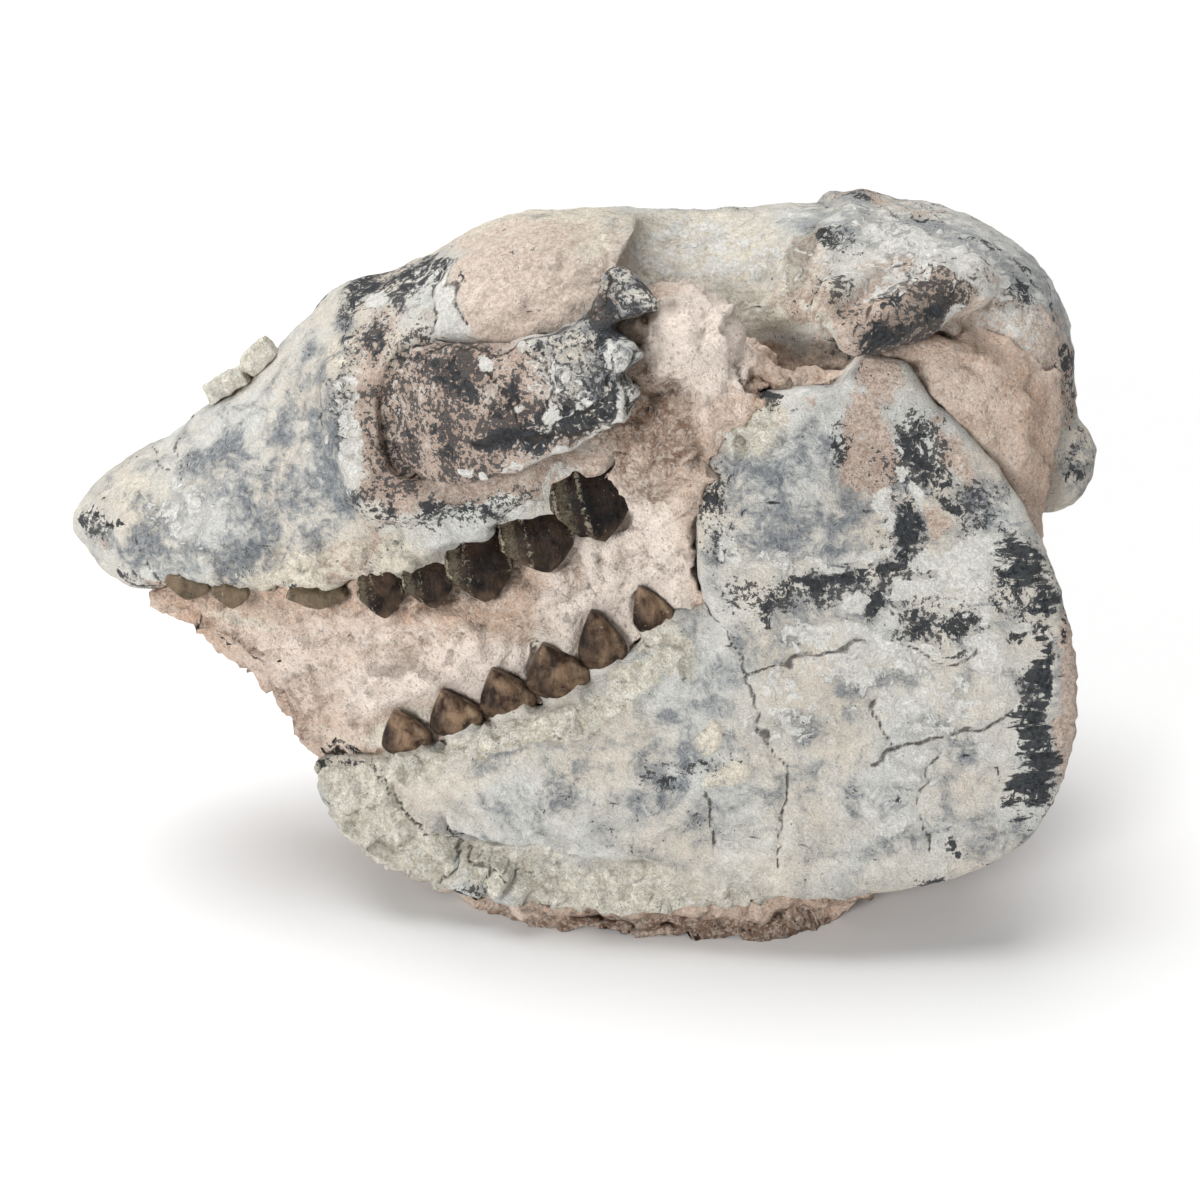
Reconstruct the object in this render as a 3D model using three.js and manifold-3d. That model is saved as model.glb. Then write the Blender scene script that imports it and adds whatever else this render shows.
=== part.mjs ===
// Fossil oreodont skull with its lower jaw, still held in the sandstone it was found in.
// It stands on the worn flat underside of the stone and leans back a little.
//
// Everything is modelled in millimetres in the skull's own frame: X runs from the snout to the
// nape, Y from the animal's left side to its right, Z from the jaw to the crown, with the origin
// in the middle of the mouth. The group at the end leans the skull back and sets it on Z = 0.
// A "depth" is a distance out from the middle plane, so the same number serves both sides.
import * as THREE from 'three';
import { LoftGeometry } from 'three/addons/geometries/LoftGeometry.js';
import { ImprovedNoise } from 'three/addons/math/ImprovedNoise.js';
import { mergeVertices } from 'three/addons/utils/BufferGeometryUtils.js';
import Module from 'manifold-3d';

const wasm = await Module();
wasm.setup();

// Driving dimensions
const GAP = 0.35; // left between neighbouring pieces
const LEAN = THREE.MathUtils.degToRad(16); // how far the skull leans back from upright
const SNOUT_TIP_X = -103.5;
const FACE_END_X = 11;
const NAPE_X = 90;
const SNOUT_SPLIT_X = -46; // where the snout and the forehead are parted
const OCCIPUT_SPLIT_X = 70; // where the braincase and the back of the head are parted
const REST_HEIGHT = 51.9; // height of the skull's origin over the floor
const REST_SHIFT = new THREE.Vector3(4.6, -8.6, REST_HEIGHT); // puts the footprint's middle at the origin

// Materials
const finish = (color, roughness) => new THREE.MeshStandardMaterial({ color, roughness, metalness: 0 });
const bone = finish('#d3d1cb', 0.75);
const cheek = finish('#5f6368', 0.7);
const sandstone = finish('#c9b3a2', 0.95);
const chalk = finish('#cfccbb', 0.95);

// A smooth curve through [x, value] pairs that never overshoots them
function profile(...pairs) {
  const slopes = pairs.slice(1).map(([x, v], i) => (v - pairs[i][1]) / (x - pairs[i][0]));
  const tangents = pairs.map((_, i) => {
    if (i === 0 || i === pairs.length - 1) return slopes[Math.min(i, slopes.length - 1)];
    const [before, after] = [slopes[i - 1], slopes[i]];
    return before * after <= 0 ? 0 : (2 * before * after) / (before + after);
  });
  return (x) => {
    if (x <= pairs[0][0]) return pairs[0][1];
    if (x >= pairs.at(-1)[0]) return pairs.at(-1)[1];
    const i = pairs.findIndex(([edge]) => x < edge) - 1;
    const [x0, v0] = pairs[i];
    const [x1, v1] = pairs[i + 1];
    const span = x1 - x0;
    const t = (x - x0) / span;
    return (
      v0 * (1 + 2 * t) * (1 - t) ** 2 +
      tangents[i] * span * t * (1 - t) ** 2 +
      v1 * t * t * (3 - 2 * t) +
      tangents[i + 1] * span * t * t * (t - 1)
    );
  };
}

// Blends several profiles of x, each holding at its own height
function stack(...levels) {
  return (x, height) => profile(...levels.map(([level, along]) => [level, along(x)]))(height);
}

// Slow unevenness of worn bone and stone
const noise = new ImprovedNoise();
const uneven = (x, y, z, wavelength, amount) =>
  amount * noise.noise(x / wavelength + 11.3, y / wavelength + 5.7, z / wavelength + 8.1);

// A closed solid from a geometry, its faces turned outward, grown on all sides by a margin
function solid(geometry, margin = 0) {
  const bare = new THREE.BufferGeometry().setAttribute('position', geometry.attributes.position);
  const merged = mergeVertices(bare.setIndex(geometry.index), 1e-4);
  const place = merged.attributes.position;
  const faces = [];
  for (let i = 0; i < merged.index.count; i += 3) {
    const face = [0, 1, 2].map((k) => merged.index.getX(i + k));
    if (new Set(face).size === 3) faces.push(face);
  }
  const build = () =>
    new wasm.Manifold(
      new wasm.Mesh({
        numProp: 3,
        vertProperties: new Float32Array(place.array),
        triVerts: new Uint32Array(faces.flat()),
      }),
    );
  if (build().volume() < 0) faces.forEach((face) => face.reverse());
  if (margin > 0) grow(place, faces, margin);
  return build();
}

// Moves each corner out until every face that meets there has moved by the margin
function grow(place, faces, margin) {
  const meeting = Array.from({ length: place.count }, () => []);
  for (const face of faces) {
    const corners = face.map((k) => new THREE.Vector3().fromBufferAttribute(place, k));
    const normal = new THREE.Triangle(...corners).getNormal(new THREE.Vector3());
    face.forEach((k) => meeting[k].push(normal));
  }
  meeting.forEach((normals, k) => {
    const out = normals.reduce((sum, normal) => sum.add(normal), new THREE.Vector3()).normalize();
    const least = Math.max(0.4, Math.min(...normals.map((normal) => normal.dot(out))));
    const moved = new THREE.Vector3().fromBufferAttribute(place, k).addScaledVector(out, margin / least);
    place.setXYZ(k, moved.x, moved.y, moved.z);
  });
}

// A solid skinned over rings of points, each end drawn in to the middle of its ring
function loft(rings, margin = 0) {
  const [start, end] = [rings[0], rings.at(-1)].map((ring) => {
    const middle = ring.reduce((sum, point) => sum.add(point), new THREE.Vector3()).divideScalar(ring.length);
    return ring.map(() => middle);
  });
  return solid(new LoftGeometry([start, ...rings, end]), margin);
}

// The largest body that is left of a solid after a cut
const largest = (made) => made.decompose().sort((a, b) => b.volume() - a.volume())[0];

const cut = (made, cutters) => cutters.reduce((left, cutter) => left.subtract(cutter), made);

// A named mesh of a finished solid
function node(name, made, material) {
  const mesh = largest(made).getMesh();
  const geometry = new THREE.BufferGeometry();
  geometry.setAttribute('position', new THREE.BufferAttribute(new Float32Array(mesh.vertProperties), 3));
  geometry.setIndex(new THREE.BufferAttribute(new Uint32Array(mesh.triVerts), 1));
  const named = new THREE.Mesh(geometry, material);
  named.name = name;
  return named;
}

// A closed outline in X and Z, smoothed through its corners
function smoothOutline(corners, count) {
  const curve = new THREE.CatmullRomCurve3(
    corners.map(([x, z]) => new THREE.Vector3(x, 0, z)),
    true,
    'centripetal',
  );
  return curve.getSpacedPoints(count).slice(0, count);
}

// A plate of bone on one side of the skull: an outline, a curved outer face with a rounded rim,
// and an inner face. Its rings shrink toward a centre that sees the whole outline.
const RIM = [
  [1, 1],
  [0.98, 0.35],
  [0.92, 0],
];
function plate({ corners, centre, count, outer, inner, rim, rings }, side, margin = 0) {
  const edge = smoothOutline(corners, count);
  const at = (p, share) =>
    new THREE.Vector3(centre[0] + (p.x - centre[0]) * share, 0, centre[1] + (p.z - centre[1]) * share);
  const section = (share, depth) =>
    edge.map((p) => {
      const q = at(p, share);
      q.y = side * (depth(q.x, q.z) + uneven(q.x, side * 40, q.z, 17, 0.9));
      return q;
    });
  const inward = [0.04, 1].map((share) => section(share, inner));
  const outward = [...RIM, ...rings.map((share) => [share, 0])].map(([share, drop]) =>
    section(share, (x, z) => outer(x, z) - rim * drop),
  );
  return loft([...inward, ...outward], margin);
}

// A body of the head lofted along X through rounded box sections
function headLoft({ from, to, stations, count, top, bottom, middle, width, crown, base }, margin = 0) {
  const sections = [];
  for (let i = 0; i <= stations; i += 1) {
    const x = THREE.MathUtils.lerp(from, to, i / stations);
    const [low, mid, high] = [bottom(x), middle(x), top(x)];
    const ring = [];
    for (let j = 0; j < count; j += 1) {
      const turn = (j / count) * Math.PI * 2;
      const [across, up] = [Math.cos(turn), Math.sin(turn)];
      const power = 2 / (up > 0 ? crown(x) : base(x));
      const y = width(x) * Math.sign(across) * Math.abs(across) ** power;
      const z = mid + (up > 0 ? high - mid : mid - low) * Math.sign(up) * Math.abs(up) ** power;
      const swell = uneven(x, y, z, 21, 1.1);
      ring.push(new THREE.Vector3(x, y + Math.sign(y) * swell, z));
    }
    sections.push(ring);
  }
  return loft(sections, margin);
}

// Face: snout, cheeks' roots and forehead, back to the bar behind the eye
const face = {
  from: SNOUT_TIP_X,
  to: FACE_END_X,
  stations: 18,
  count: 20,
  top: profile([-103.5, 17.5], [-101, 20.5], [-98, 24], [-93, 28], [-88, 30.5], [-78, 37.5], [-68, 45], [-62, 49.5],
    [-57, 56.5], [-52, 61], [-46, 63.6], [-38, 65.2], [-33, 67], [-24, 72.6], [-15, 75.8], [0, 76.5], [20, 76.7]),
  bottom: profile([-103.5, 14.5], [-101, 10], [-98, 7], [-93, 3.2], [-88, 2.2], [-84, 4], [-78, 6.5], [-68, 6.4],
    [-57, 6.4], [-45, 8], [-37, 11.5], [-27, 16], [-18, 20.5], [-10, 25], [-4, 28.5], [3, 31.5], [11, 33]),
  middle: profile([-103.5, 16], [-90, 13], [-70, 17], [-50, 26], [-35, 38], [-20, 47], [0, 52], [11, 54]),
  width: profile([-103.5, 4], [-100, 9], [-95, 13], [-88, 16.5], [-80, 19], [-68, 21], [-56, 23], [-46, 27],
    [-38, 31.5], [-30, 35], [-18, 37.5], [-6, 38.5], [11, 38]),
  crown: profile([-103, 2], [-60, 1.9], [-40, 2.2], [-20, 2.8], [11, 3]),
  base: profile([-103, 2], [-85, 3], [-40, 3], [-10, 2.6], [11, 2.4]),
};
// The face's own depth at a point of its side, above its widest level
function faceDepth(x, z) {
  const rise = THREE.MathUtils.clamp((z - face.middle(x)) / (face.top(x) - face.middle(x)), 0, 0.98);
  return face.width(x) * (1 - rise ** face.crown(x)) ** (1 / face.crown(x));
}

// The ridge of the upper jaw that the teeth hang from, hollowed above them under the cheek
const gumLine = profile([-86, 4], [-82, 8], [-74, 8], [-66, 6], [-57, 7.2], [-45, 8.8], [-37, 11.5], [-27, 16], [-18, 20.6],
  [-10, 25], [-5, 28], [2, 31.4], [8, 33]);
const gumDepth = profile([-86, 17.5], [-78, 20], [-68, 21.8], [-57, 24.6], [-45, 27.4], [-37, 28.8], [-27, 30.8], [-18, 32.4],
  [-8, 34.6], [8, 37]);
const upperJaw = {
  corners: [[-86, 4.6], [-82, 8], [-74, 7.8], [-66, 6], [-57, 7], [-45, 8.6], [-37, 11.4], [-27, 16], [-18, 20.6], [-10, 25],
    [-5, 28], [2, 31.4], [7.4, 33.4], [6.6, 38], [-2, 42], [-20, 38], [-40, 28], [-60, 18], [-78, 13], [-85, 10]],
  centre: [-40, 19],
  count: 26,
  outer: (x, z) => gumDepth(x) - 0.5 * Math.max(0, z - gumLine(x) - 5),
  inner: (x, z) => gumDepth(x) - 9,
  rim: 1.2,
  rings: [0.04],
};

// Braincase with its crest, and the flaring back of the head
const braincase = {
  from: -6,
  to: NAPE_X,
  stations: 13,
  count: 20,
  top: profile([-6, 75.5], [20, 76.6], [40, 77.3], [48, 78.6], [54, 79.2], [60, 78], [67, 76.3], [73, 74], [78, 71],
    [83, 67.4], [87, 63], [90, 57]),
  bottom: profile([-6, 36], [30, 34], [55, 30], [75, 23], [90, 21]),
  middle: profile([-6, 56], [30, 54], [60, 52], [80, 46], [90, 40]),
  width: profile([-6, 30], [4, 25], [14, 20], [24, 19], [38, 21.5], [52, 25], [66, 28], [76, 27.5], [84, 23], [90, 13]),
  crown: profile([-6, 2.4], [20, 1.7], [45, 1.6], [70, 1.9], [90, 2.2]),
  base: profile([-6, 2.4], [90, 2.4]),
};

// Cheekbone: the body under the eye and the process that climbs behind it
const cheekDepth = stack(
  [26, profile([-40, 33], [-28, 40], [-14, 46.5], [0, 51], [9, 52])],
  [38, profile([-40, 36.5], [-28, 43.5], [-14, 50.5], [0, 54.5], [9, 55.5])],
  [50, profile([-40, 37], [-28, 43], [-14, 49], [0, 53.5], [9, 54])],
  [66, profile([-40, 33], [-28, 36], [-14, 40], [0, 45.5], [11, 46])],
);
const cheekbone = {
  corners: [[-39.5, 44], [-36, 51.2], [-28, 52.8], [-20, 52], [-13, 53.2], [-6, 55.2], [-1, 57.4], [1.5, 55.2], [4.5, 53.3],
    [8, 53.2], [6.4, 50.6], [3.6, 48.2], [4.3, 45], [7.2, 45], [5.2, 41.8], [1.2, 39.6], [-7, 35.8], [-15.6, 31.5],
    [-22.7, 29], [-30, 26.8], [-36, 27.2], [-39, 31]],
  centre: [-18, 43],
  count: 26,
  outer: cheekDepth,
  inner: (x, z) => cheekDepth(x, z) - 13,
  rim: 2.2,
  rings: [0.5, 0.04],
};
const eyeBar = {
  corners: [[-9, 53.4], [-4, 56.3], [-0.6, 59.4], [0.4, 63.2], [1.6, 65.8], [4.8, 64.9], [8, 61.6], [10.6, 59.8], [6.8, 58.4],
    [3, 57.6], [0.6, 56.2], [0, 53.6], [-4, 51]],
  centre: [0.2, 57.6],
  count: 16,
  outer: (x, z) => cheekDepth(x, z) - 0.6,
  inner: (x, z) => cheekDepth(x, z) - 10,
  rim: 1.4,
  rings: [0.5, 0.05],
};

// Stone that fills the eye socket, a little proud of the bone
const eyeFill = {
  corners: [[-28.4, 60], [-27.6, 54.4], [-23, 52.2], [-15, 52.4], [-7, 54.4], [-2, 57.4], [-0.4, 61], [0.6, 65.4],
    [-3, 69.3], [-9, 71], [-17, 69.8], [-25, 67]],
  centre: [-13.5, 61],
  count: 14,
  outer: (x, z) => faceDepth(x, z) + 1.2,
  inner: (x, z) => faceDepth(x, z) - 8,
  rim: 1.6,
  rings: [0.04],
};

// Rising branch of the lower jaw: broad plate, shallow muscle hollow, rounded angle
const ramusDepth = stack(
  [-52, profile([17, 34], [40, 36], [62, 35.5], [88, 32])],
  [-30, profile([17, 35.5], [40, 38], [62, 38.5], [88, 35.5])],
  [0, profile([17, 36], [32, 38.5], [52, 38], [70, 39.5], [88, 37])],
  [25, profile([17, 36.5], [32, 40], [50, 37.5], [66, 39.5], [88, 37])],
  [52, profile([17, 38], [32, 42], [50, 43.5], [66, 40], [88, 36])],
);
const ramus = {
  corners: [[16.9, 14], [17.4, 26], [17.7, 35], [19.4, 40], [23.7, 41.4], [27.5, 44.7], [33.3, 44.6], [39.4, 44], [43.3, 46],
    [46, 50.4], [50, 52.6], [53, 50.6], [57.8, 43.9], [68.1, 34], [77.6, 21.4], [82.7, 10.4], [86.4, -3], [87.6, -13],
    [86.6, -24], [84, -33], [80, -39], [74, -43.6], [62.8, -47.9], [50, -49.6], [40, -50.4], [31.6, -50.4], [31.7, -43.8],
    [32.1, -36.2], [33.4, -30.5], [31.2, -23], [28.6, -16.4], [25.6, -9], [22, -0.5], [18.6, 6.6]],
  centre: [50, -2],
  count: 34,
  outer: ramusDepth,
  inner: (x, z) => ramusDepth(x, z) - 11,
  rim: 2,
  rings: [0.6, 0.3, 0.04],
};

// Tooth-bearing body of the lower jaw, its chin broken away
const jawDepth = stack(
  [-58, profile([-57, 13], [-38, 20], [-19, 25], [5, 29], [33, 33])],
  [-40, profile([-57, 16.5], [-38, 23], [-19, 29.5], [5, 33.5], [33, 37])],
  [-20, profile([-57, 17], [-38, 24], [-19, 29], [5, 33], [33, 38])],
  [8, profile([-57, 15], [-38, 22], [-19, 25.5], [5, 31], [33, 36.5])],
);
const jawBody = {
  corners: [[20.5, 5], [15.2, 5.4], [11.6, 0.6], [7.3, -2.2], [2.6, -7.6], [-3.6, -12.4], [-11, -16.4], [-21.9, -20.9],
    [-31.7, -24.8], [-40.9, -26.8], [-48.2, -27], [-54.4, -28.6], [-56.4, -31], [-54, -36.6], [-49.6, -42], [-44.6, -47.4],
    [-37.8, -51.6], [-28.6, -52.6], [-19, -55], [-3.8, -54.8], [18.6, -53], [34, -50.6], [34.5, -40], [35.6, -30],
    [31, -16], [25, -2.5]],
  centre: [0, -34],
  count: 34,
  outer: jawDepth,
  inner: (x, z) => jawDepth(x, z) - 9,
  rim: 2.2,
  rings: [0.6, 0.3, 0.03],
};

// Stone that holds it all together: one pillow from side to side
const stoneDepth = stack(
  [-64, profile([-90, 6], [-60, 9], [-40, 14], [-20, 22], [20, 26], [60, 22], [88, 16])],
  [-35, profile([-90, 8], [-60, 12], [-40, 18], [-20, 23], [0, 26.5], [20, 31], [60, 33], [88, 25])],
  [-14, profile([-90, 10], [-60, 15], [-40, 21], [-20, 25], [0, 28], [12, 30], [18, 33], [60, 35], [88, 25])],
  [8, profile([-90, 12], [-60, 18], [-40, 24.5], [-20, 27], [0, 29.5], [10, 31], [18, 34.5], [60, 36], [88, 27])],
  [24, profile([-90, 12], [-40, 25], [-20, 28.5], [-4, 31.5], [8, 35], [18, 36], [34, 38], [60, 38], [88, 27])],
  [42, profile([-90, 10], [-40, 24], [-12, 33], [2, 40.5], [14, 42.5], [24, 40], [50, 42], [66, 38], [88, 27])],
  [50, profile([-40, 22], [-12, 34], [2, 43], [14, 44.5], [26, 43], [40, 42], [56, 38], [66, 36], [88, 24])],
  [57, profile([-40, 20], [0, 38], [12, 41], [28, 35], [50, 32], [66, 31], [88, 20])],
  [64, profile([-90, 8], [-40, 20], [0, 34], [20, 32], [60, 28], [88, 18])],
);
const stone = {
  corners: [[-88, 0.4], [-80.5, -2.8], [-71, -9], [-64.6, -15.2], [-59.8, -18], [-60.6, -22], [-59.4, -25.8], [-55, -31],
    [-44, -44], [-33, -53.5], [-19.6, -60.6], [-7.9, -66], [9.8, -70], [28.5, -69], [40, -64], [52, -54], [64, -42],
    [77, -20], [82, 4], [81.6, 19], [84.2, 32], [85, 42], [82.4, 52], [75, 56], [66, 60], [56, 58], [49.4, 52], [44.4, 45.6],
    [38.4, 43], [33, 45.4], [27.7, 49.4], [22.5, 54.6], [16.4, 58.6], [9, 60.4], [0, 58], [-14, 46], [-30, 32], [-50, 16],
    [-70, 8], [-84, 5]],
  centre: [4, -6],
  count: 40,
  shares: [0.04, 0.35, 0.68, 0.9, 1],
  rim: 5,
};
function stoneBody() {
  const edge = smoothOutline(stone.corners, stone.count);
  const layer = (side) => (share) =>
    edge.map((p) => {
      const x = stone.centre[0] + (p.x - stone.centre[0]) * share;
      const z = stone.centre[1] + (p.z - stone.centre[1]) * share;
      const drop = stone.rim * THREE.MathUtils.smoothstep(share, 0.9, 1.01);
      return new THREE.Vector3(x, side * (stoneDepth(x, z) - drop + uneven(x, side * 30, z, 13, 1.8)), z);
    });
  const left = stone.shares.map(layer(-1));
  const right = stone.shares.toReversed().map(layer(1));
  return loft([...left, ...right]);
}

// Hinge process of the temple: a stout rod that reaches forward from the back of the head
const temple = {
  root: [64, 30, 60],
  bend: [50, 43, 62.5],
  tip: [35.4, 50, 56.6],
  heights: profile([0, 8.2], [0.5, 7.4], [0.85, 6.6], [1, 3.4]),
  depths: profile([0, 8], [0.5, 5], [0.85, 4.2], [1, 2]),
  steps: 6,
  count: 10,
};
function templeProcess(side, margin = 0) {
  const [root, bend, tip] = [temple.root, temple.bend, temple.tip].map(
    ([x, depth, z]) => new THREE.Vector3(x, side * depth, z),
  );
  const path = new THREE.QuadraticBezierCurve3(root, bend, tip);
  const sections = [];
  for (let i = 0; i <= temple.steps; i += 1) {
    const t = i / temple.steps;
    const middle = path.getPoint(t);
    const along = path.getTangent(t);
    const out = new THREE.Vector3(0, side, 0).cross(along).cross(along).negate().normalize();
    const up = new THREE.Vector3().crossVectors(along, out).normalize();
    const ring = [];
    for (let j = 0; j < temple.count; j += 1) {
      const turn = (j / temple.count) * Math.PI * 2;
      const bump = 1 + uneven(middle.x + 4 * Math.cos(turn), side * 20, middle.z + 4 * Math.sin(turn), 6, 0.22);
      ring.push(
        middle
          .clone()
          .addScaledVector(up, temple.heights(t) * bump * Math.cos(turn))
          .addScaledVector(out, temple.depths(t) * bump * Math.sin(turn)),
      );
    }
    sections.push(ring);
  }
  return loft(sections, margin);
}

// Knob of the nape that the neck turned on
const condyle = { centre: [87.2, 12.5, 28], radii: [7, 7.5, 9.8] };
function napeKnob(side, margin = 0) {
  const ball = new THREE.SphereGeometry(1, 12, 7);
  const [x, depth, z] = condyle.centre;
  ball.scale(...condyle.radii).rotateY(0.35);
  return solid(ball.translate(x, side * depth, z), margin);
}

// A tooth crown that hangs from its root, with one cusp or two, and ribs down its outer face
const CROWN_LEVELS = [-0.4, 0.05, 0.5, 1]; // the first is the root's end, sunk in the jaw
const UPPER_TAPER = profile([-0.4, 0.6], [0, 0.8], [0.3, 0.98], [0.62, 1], [0.88, 0.84], [1, 0.7]);
const LOWER_TAPER = profile([-0.4, 0.6], [0, 0.78], [0.3, 1], [0.62, 0.72], [0.88, 0.34], [1, 0.12]);
const CROWN_SIDES = 6;
const UP_TO_SIDE = new THREE.Vector3(0, 1, 0); // the axis a crown tilts about, seen from its side
function crown({ x, z, depth, width, height, tilt, cusps, lower }, side, margin = 0) {
  const taper = lower ? LOWER_TAPER : UPPER_TAPER;
  const thickness = Math.min(width * 0.62, 7);
  const upward = lower ? -1 : 1;
  const lean = THREE.MathUtils.degToRad(tilt);
  const rings = CROWN_LEVELS.map((level) => {
    const half = (width / 2) * taper(level);
    const ring = [];
    for (let j = 0; j < CROWN_SIDES; j += 1) {
      const turn = (j / CROWN_SIDES) * Math.PI * 2;
      const [along, out] = [Math.cos(turn), Math.sin(turn)];
      const across = half * Math.sign(along) * Math.abs(along) ** 0.7;
      const rib = lower ? 1 - Math.abs(across / half) : Math.cos((2 * Math.PI * cusps * across) / width);
      const face = (thickness / 2) * Math.abs(out) ** 0.7 * (out > 0 ? 0.86 + 0.14 * rib : 1) * (1 - 0.45 * Math.max(0, level) ** 3);
      const notch = lower || level < 0 ? 0 : 0.16 * height * level * (1 - Math.abs(Math.sin((Math.PI * cusps * (across + half)) / (2 * half))));
      const up = upward * (height / 2 - height * level + notch);
      const point = new THREE.Vector3(across - (lower ? 0.18 * width * level : 0), 0, up);
      point.applyAxisAngle(UP_TO_SIDE, -lean).add(new THREE.Vector3(x, 0, z));
      point.y = side * (depth - thickness / 2 + Math.sign(out) * face);
      ring.push(point);
    }
    return ring;
  });
  return loft(rings, margin);
}
const upperTeeth = [
  { x: -78, z: 6, width: 8.4, height: 6.5, tilt: -8, cusps: 1 },
  { x: -69.6, z: 4.6, width: 6.4, height: 6.5, tilt: 0, cusps: 1 },
  { x: -53, z: 4.8, width: 11, height: 5.4, tilt: 2, cusps: 1 },
  { x: -40.8, z: 6, width: 8.4, height: 9.2, tilt: 6, cusps: 1 },
  { x: -31.9, z: 8.2, width: 9.2, height: 9.4, tilt: 10, cusps: 1 },
  { x: -22.4, z: 10.8, width: 11.4, height: 12, tilt: 8, cusps: 2 },
  { x: -11.6, z: 16.2, width: 12.8, height: 11.6, tilt: 14, cusps: 2 },
  { x: -1.4, z: 24, width: 14.6, height: 15, tilt: 13, cusps: 2 },
].map((tooth) => ({ ...tooth, depth: gumDepth(tooth.x) - 0.4 }));
const lowerTeeth = [
  { x: -36.6, z: -22, width: 9.2, height: 8.8, tilt: 14 },
  { x: -27, z: -17.6, width: 9.8, height: 9, tilt: 16 },
  { x: -17.2, z: -13.4, width: 10.2, height: 9.8, tilt: 16 },
  { x: -7.6, z: -8.6, width: 11.6, height: 10.2, tilt: 14 },
  { x: 0.6, z: -3, width: 8.8, height: 11.4, tilt: 8 },
  { x: 9.8, z: 3.2, width: 7.4, height: 9.4, tilt: 18 },
].map((tooth) => ({ ...tooth, depth: jawDepth(tooth.x, tooth.z - 6) - 0.6, cusps: 1, lower: true }));

// Crumbs of stone left on the ridge of the snout
const crumbs = [
  { name: 'stone_crumb_front', size: [9, 7, 4.2], at: [-71.6, -5, 43.2], turn: 0.5 },
  { name: 'stone_crumb_back', size: [7, 7, 4.6], at: [-65.4, -5, 48.4], turn: 0.75 },
];
function crumb({ size, at, turn }, margin = 0) {
  const block = new THREE.BoxGeometry(...size, 2, 2, 2);
  const places = block.attributes.position;
  for (let i = 0; i < places.count; i += 1) {
    const [x, y, z] = [places.getX(i), places.getY(i), places.getZ(i)];
    const squeeze = 1 - 0.1 * (Math.abs(x / size[0]) + Math.abs(y / size[1]) + Math.abs(z / size[2]));
    const chip = 1 + uneven(x * 3 + at[0], y * 3, z * 3 + at[2], 7, 0.25);
    places.setXYZ(i, x * squeeze * chip, y * squeeze, z * squeeze * chip);
  }
  return solid(block.rotateY(-turn).translate(...at), margin);
}

// A block that fills all space on one side of a plane across X
const CUTTER_SIZE = 400;
function beyond(x, direction, slope = 0) {
  const block = new THREE.BoxGeometry(CUTTER_SIZE, CUTTER_SIZE, CUTTER_SIZE);
  block.translate((direction * CUTTER_SIZE) / 2, 0, 0).rotateY(slope);
  return solid(block.translate(x, 0, 55));
}

// The whole skull's resting pose, and the floor in the skull's own frame
const skull = new THREE.Group();
skull.rotation.x = -LEAN;
skull.position.copy(REST_SHIFT);
skull.updateMatrix();
const floor = solid(
  new THREE.BoxGeometry(CUTTER_SIZE, CUTTER_SIZE, CUTTER_SIZE)
    .translate(0, 0, -CUTTER_SIZE / 2)
    .applyMatrix4(skull.matrix.clone().invert()),
);

// Assembly: every piece is cut clear of the ones that are set into it
const sides = [
  ['left', -1],
  ['right', 1],
];
const sockets = { face: [], braincase: [], stone: [] };
const add = (name, made, material) => skull.add(node(name, made, material));
const join = (pieces) => pieces.reduce((whole, piece) => whole.add(piece));
const upperRow = (side) => upperTeeth.map((tooth) => crown(tooth, side));
const lowerRow = (side) => lowerTeeth.map((tooth) => crown(tooth, side));
const toothSockets = (side) => [...upperTeeth, ...lowerTeeth].map((tooth) => crown(tooth, side, GAP));

for (const [label, side] of sides) {
  const cheekSockets = [plate(cheekbone, side, GAP), plate(eyeBar, side, GAP)];
  add(`cheekbone_${label}`, plate(cheekbone, side).add(plate(eyeBar, side)), cheek);
  sockets.face.push(...cheekSockets);
  sockets.braincase.push(...cheekSockets);

  add(`eye_socket_stone_${label}`, cut(plate(eyeFill, side), cheekSockets), sandstone);
  sockets.face.push(plate(eyeFill, side, GAP));
  sockets.braincase.push(plate(eyeFill, side, GAP), plate(upperJaw, side, GAP));

  const templeSocket = templeProcess(side, GAP);
  add(`temple_process_${label}`, templeProcess(side), cheek);
  add(`nape_condyle_${label}`, napeKnob(side), bone);
  sockets.braincase.push(templeSocket, napeKnob(side, GAP));

  const ramusSocket = plate(ramus, side, GAP);
  add(`jaw_ramus_${label}`, cut(plate(ramus, side), [templeSocket, floor]), bone);
  const jawSolid = join([plate(jawBody, side), ...lowerRow(side)]);
  add(`jaw_body_${label}`, cut(jawSolid, [ramusSocket, floor]), bone);

  sockets.stone.push(...toothSockets(side), ...cheekSockets, templeSocket, napeKnob(side, GAP), ramusSocket);
  sockets.stone.push(plate(jawBody, side, GAP), plate(upperJaw, side, GAP));
}

for (const piece of crumbs) {
  add(piece.name, crumb(piece), chalk);
  sockets.face.push(crumb(piece, GAP));
}

const BAR_X = 1.5; // where the forehead ends, behind the eye
const BAR_SLOPE = 0.34; // how far that end leans back
const skullFront = cut(headLoft(face), [beyond(BAR_X + GAP / 2, 1, BAR_SLOPE)]);
const jaws = sides.flatMap(([, side]) => [plate(upperJaw, side), ...upperRow(side)]);
const faceSolid = cut(join([skullFront, ...jaws]), sockets.face);
add('snout', cut(faceSolid, [beyond(SNOUT_SPLIT_X - GAP / 2, 1)]), bone);
add('forehead', cut(faceSolid, [beyond(SNOUT_SPLIT_X + GAP / 2, -1)]), bone);

const caseSolid = cut(headLoft(braincase), [...sockets.braincase, beyond(BAR_X + GAP, -1, BAR_SLOPE)]);
add('braincase', cut(caseSolid, [beyond(OCCIPUT_SPLIT_X - GAP / 2, 1)]), bone);
add('occiput', cut(caseSolid, [beyond(OCCIPUT_SPLIT_X + GAP / 2, -1)]), bone);

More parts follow.
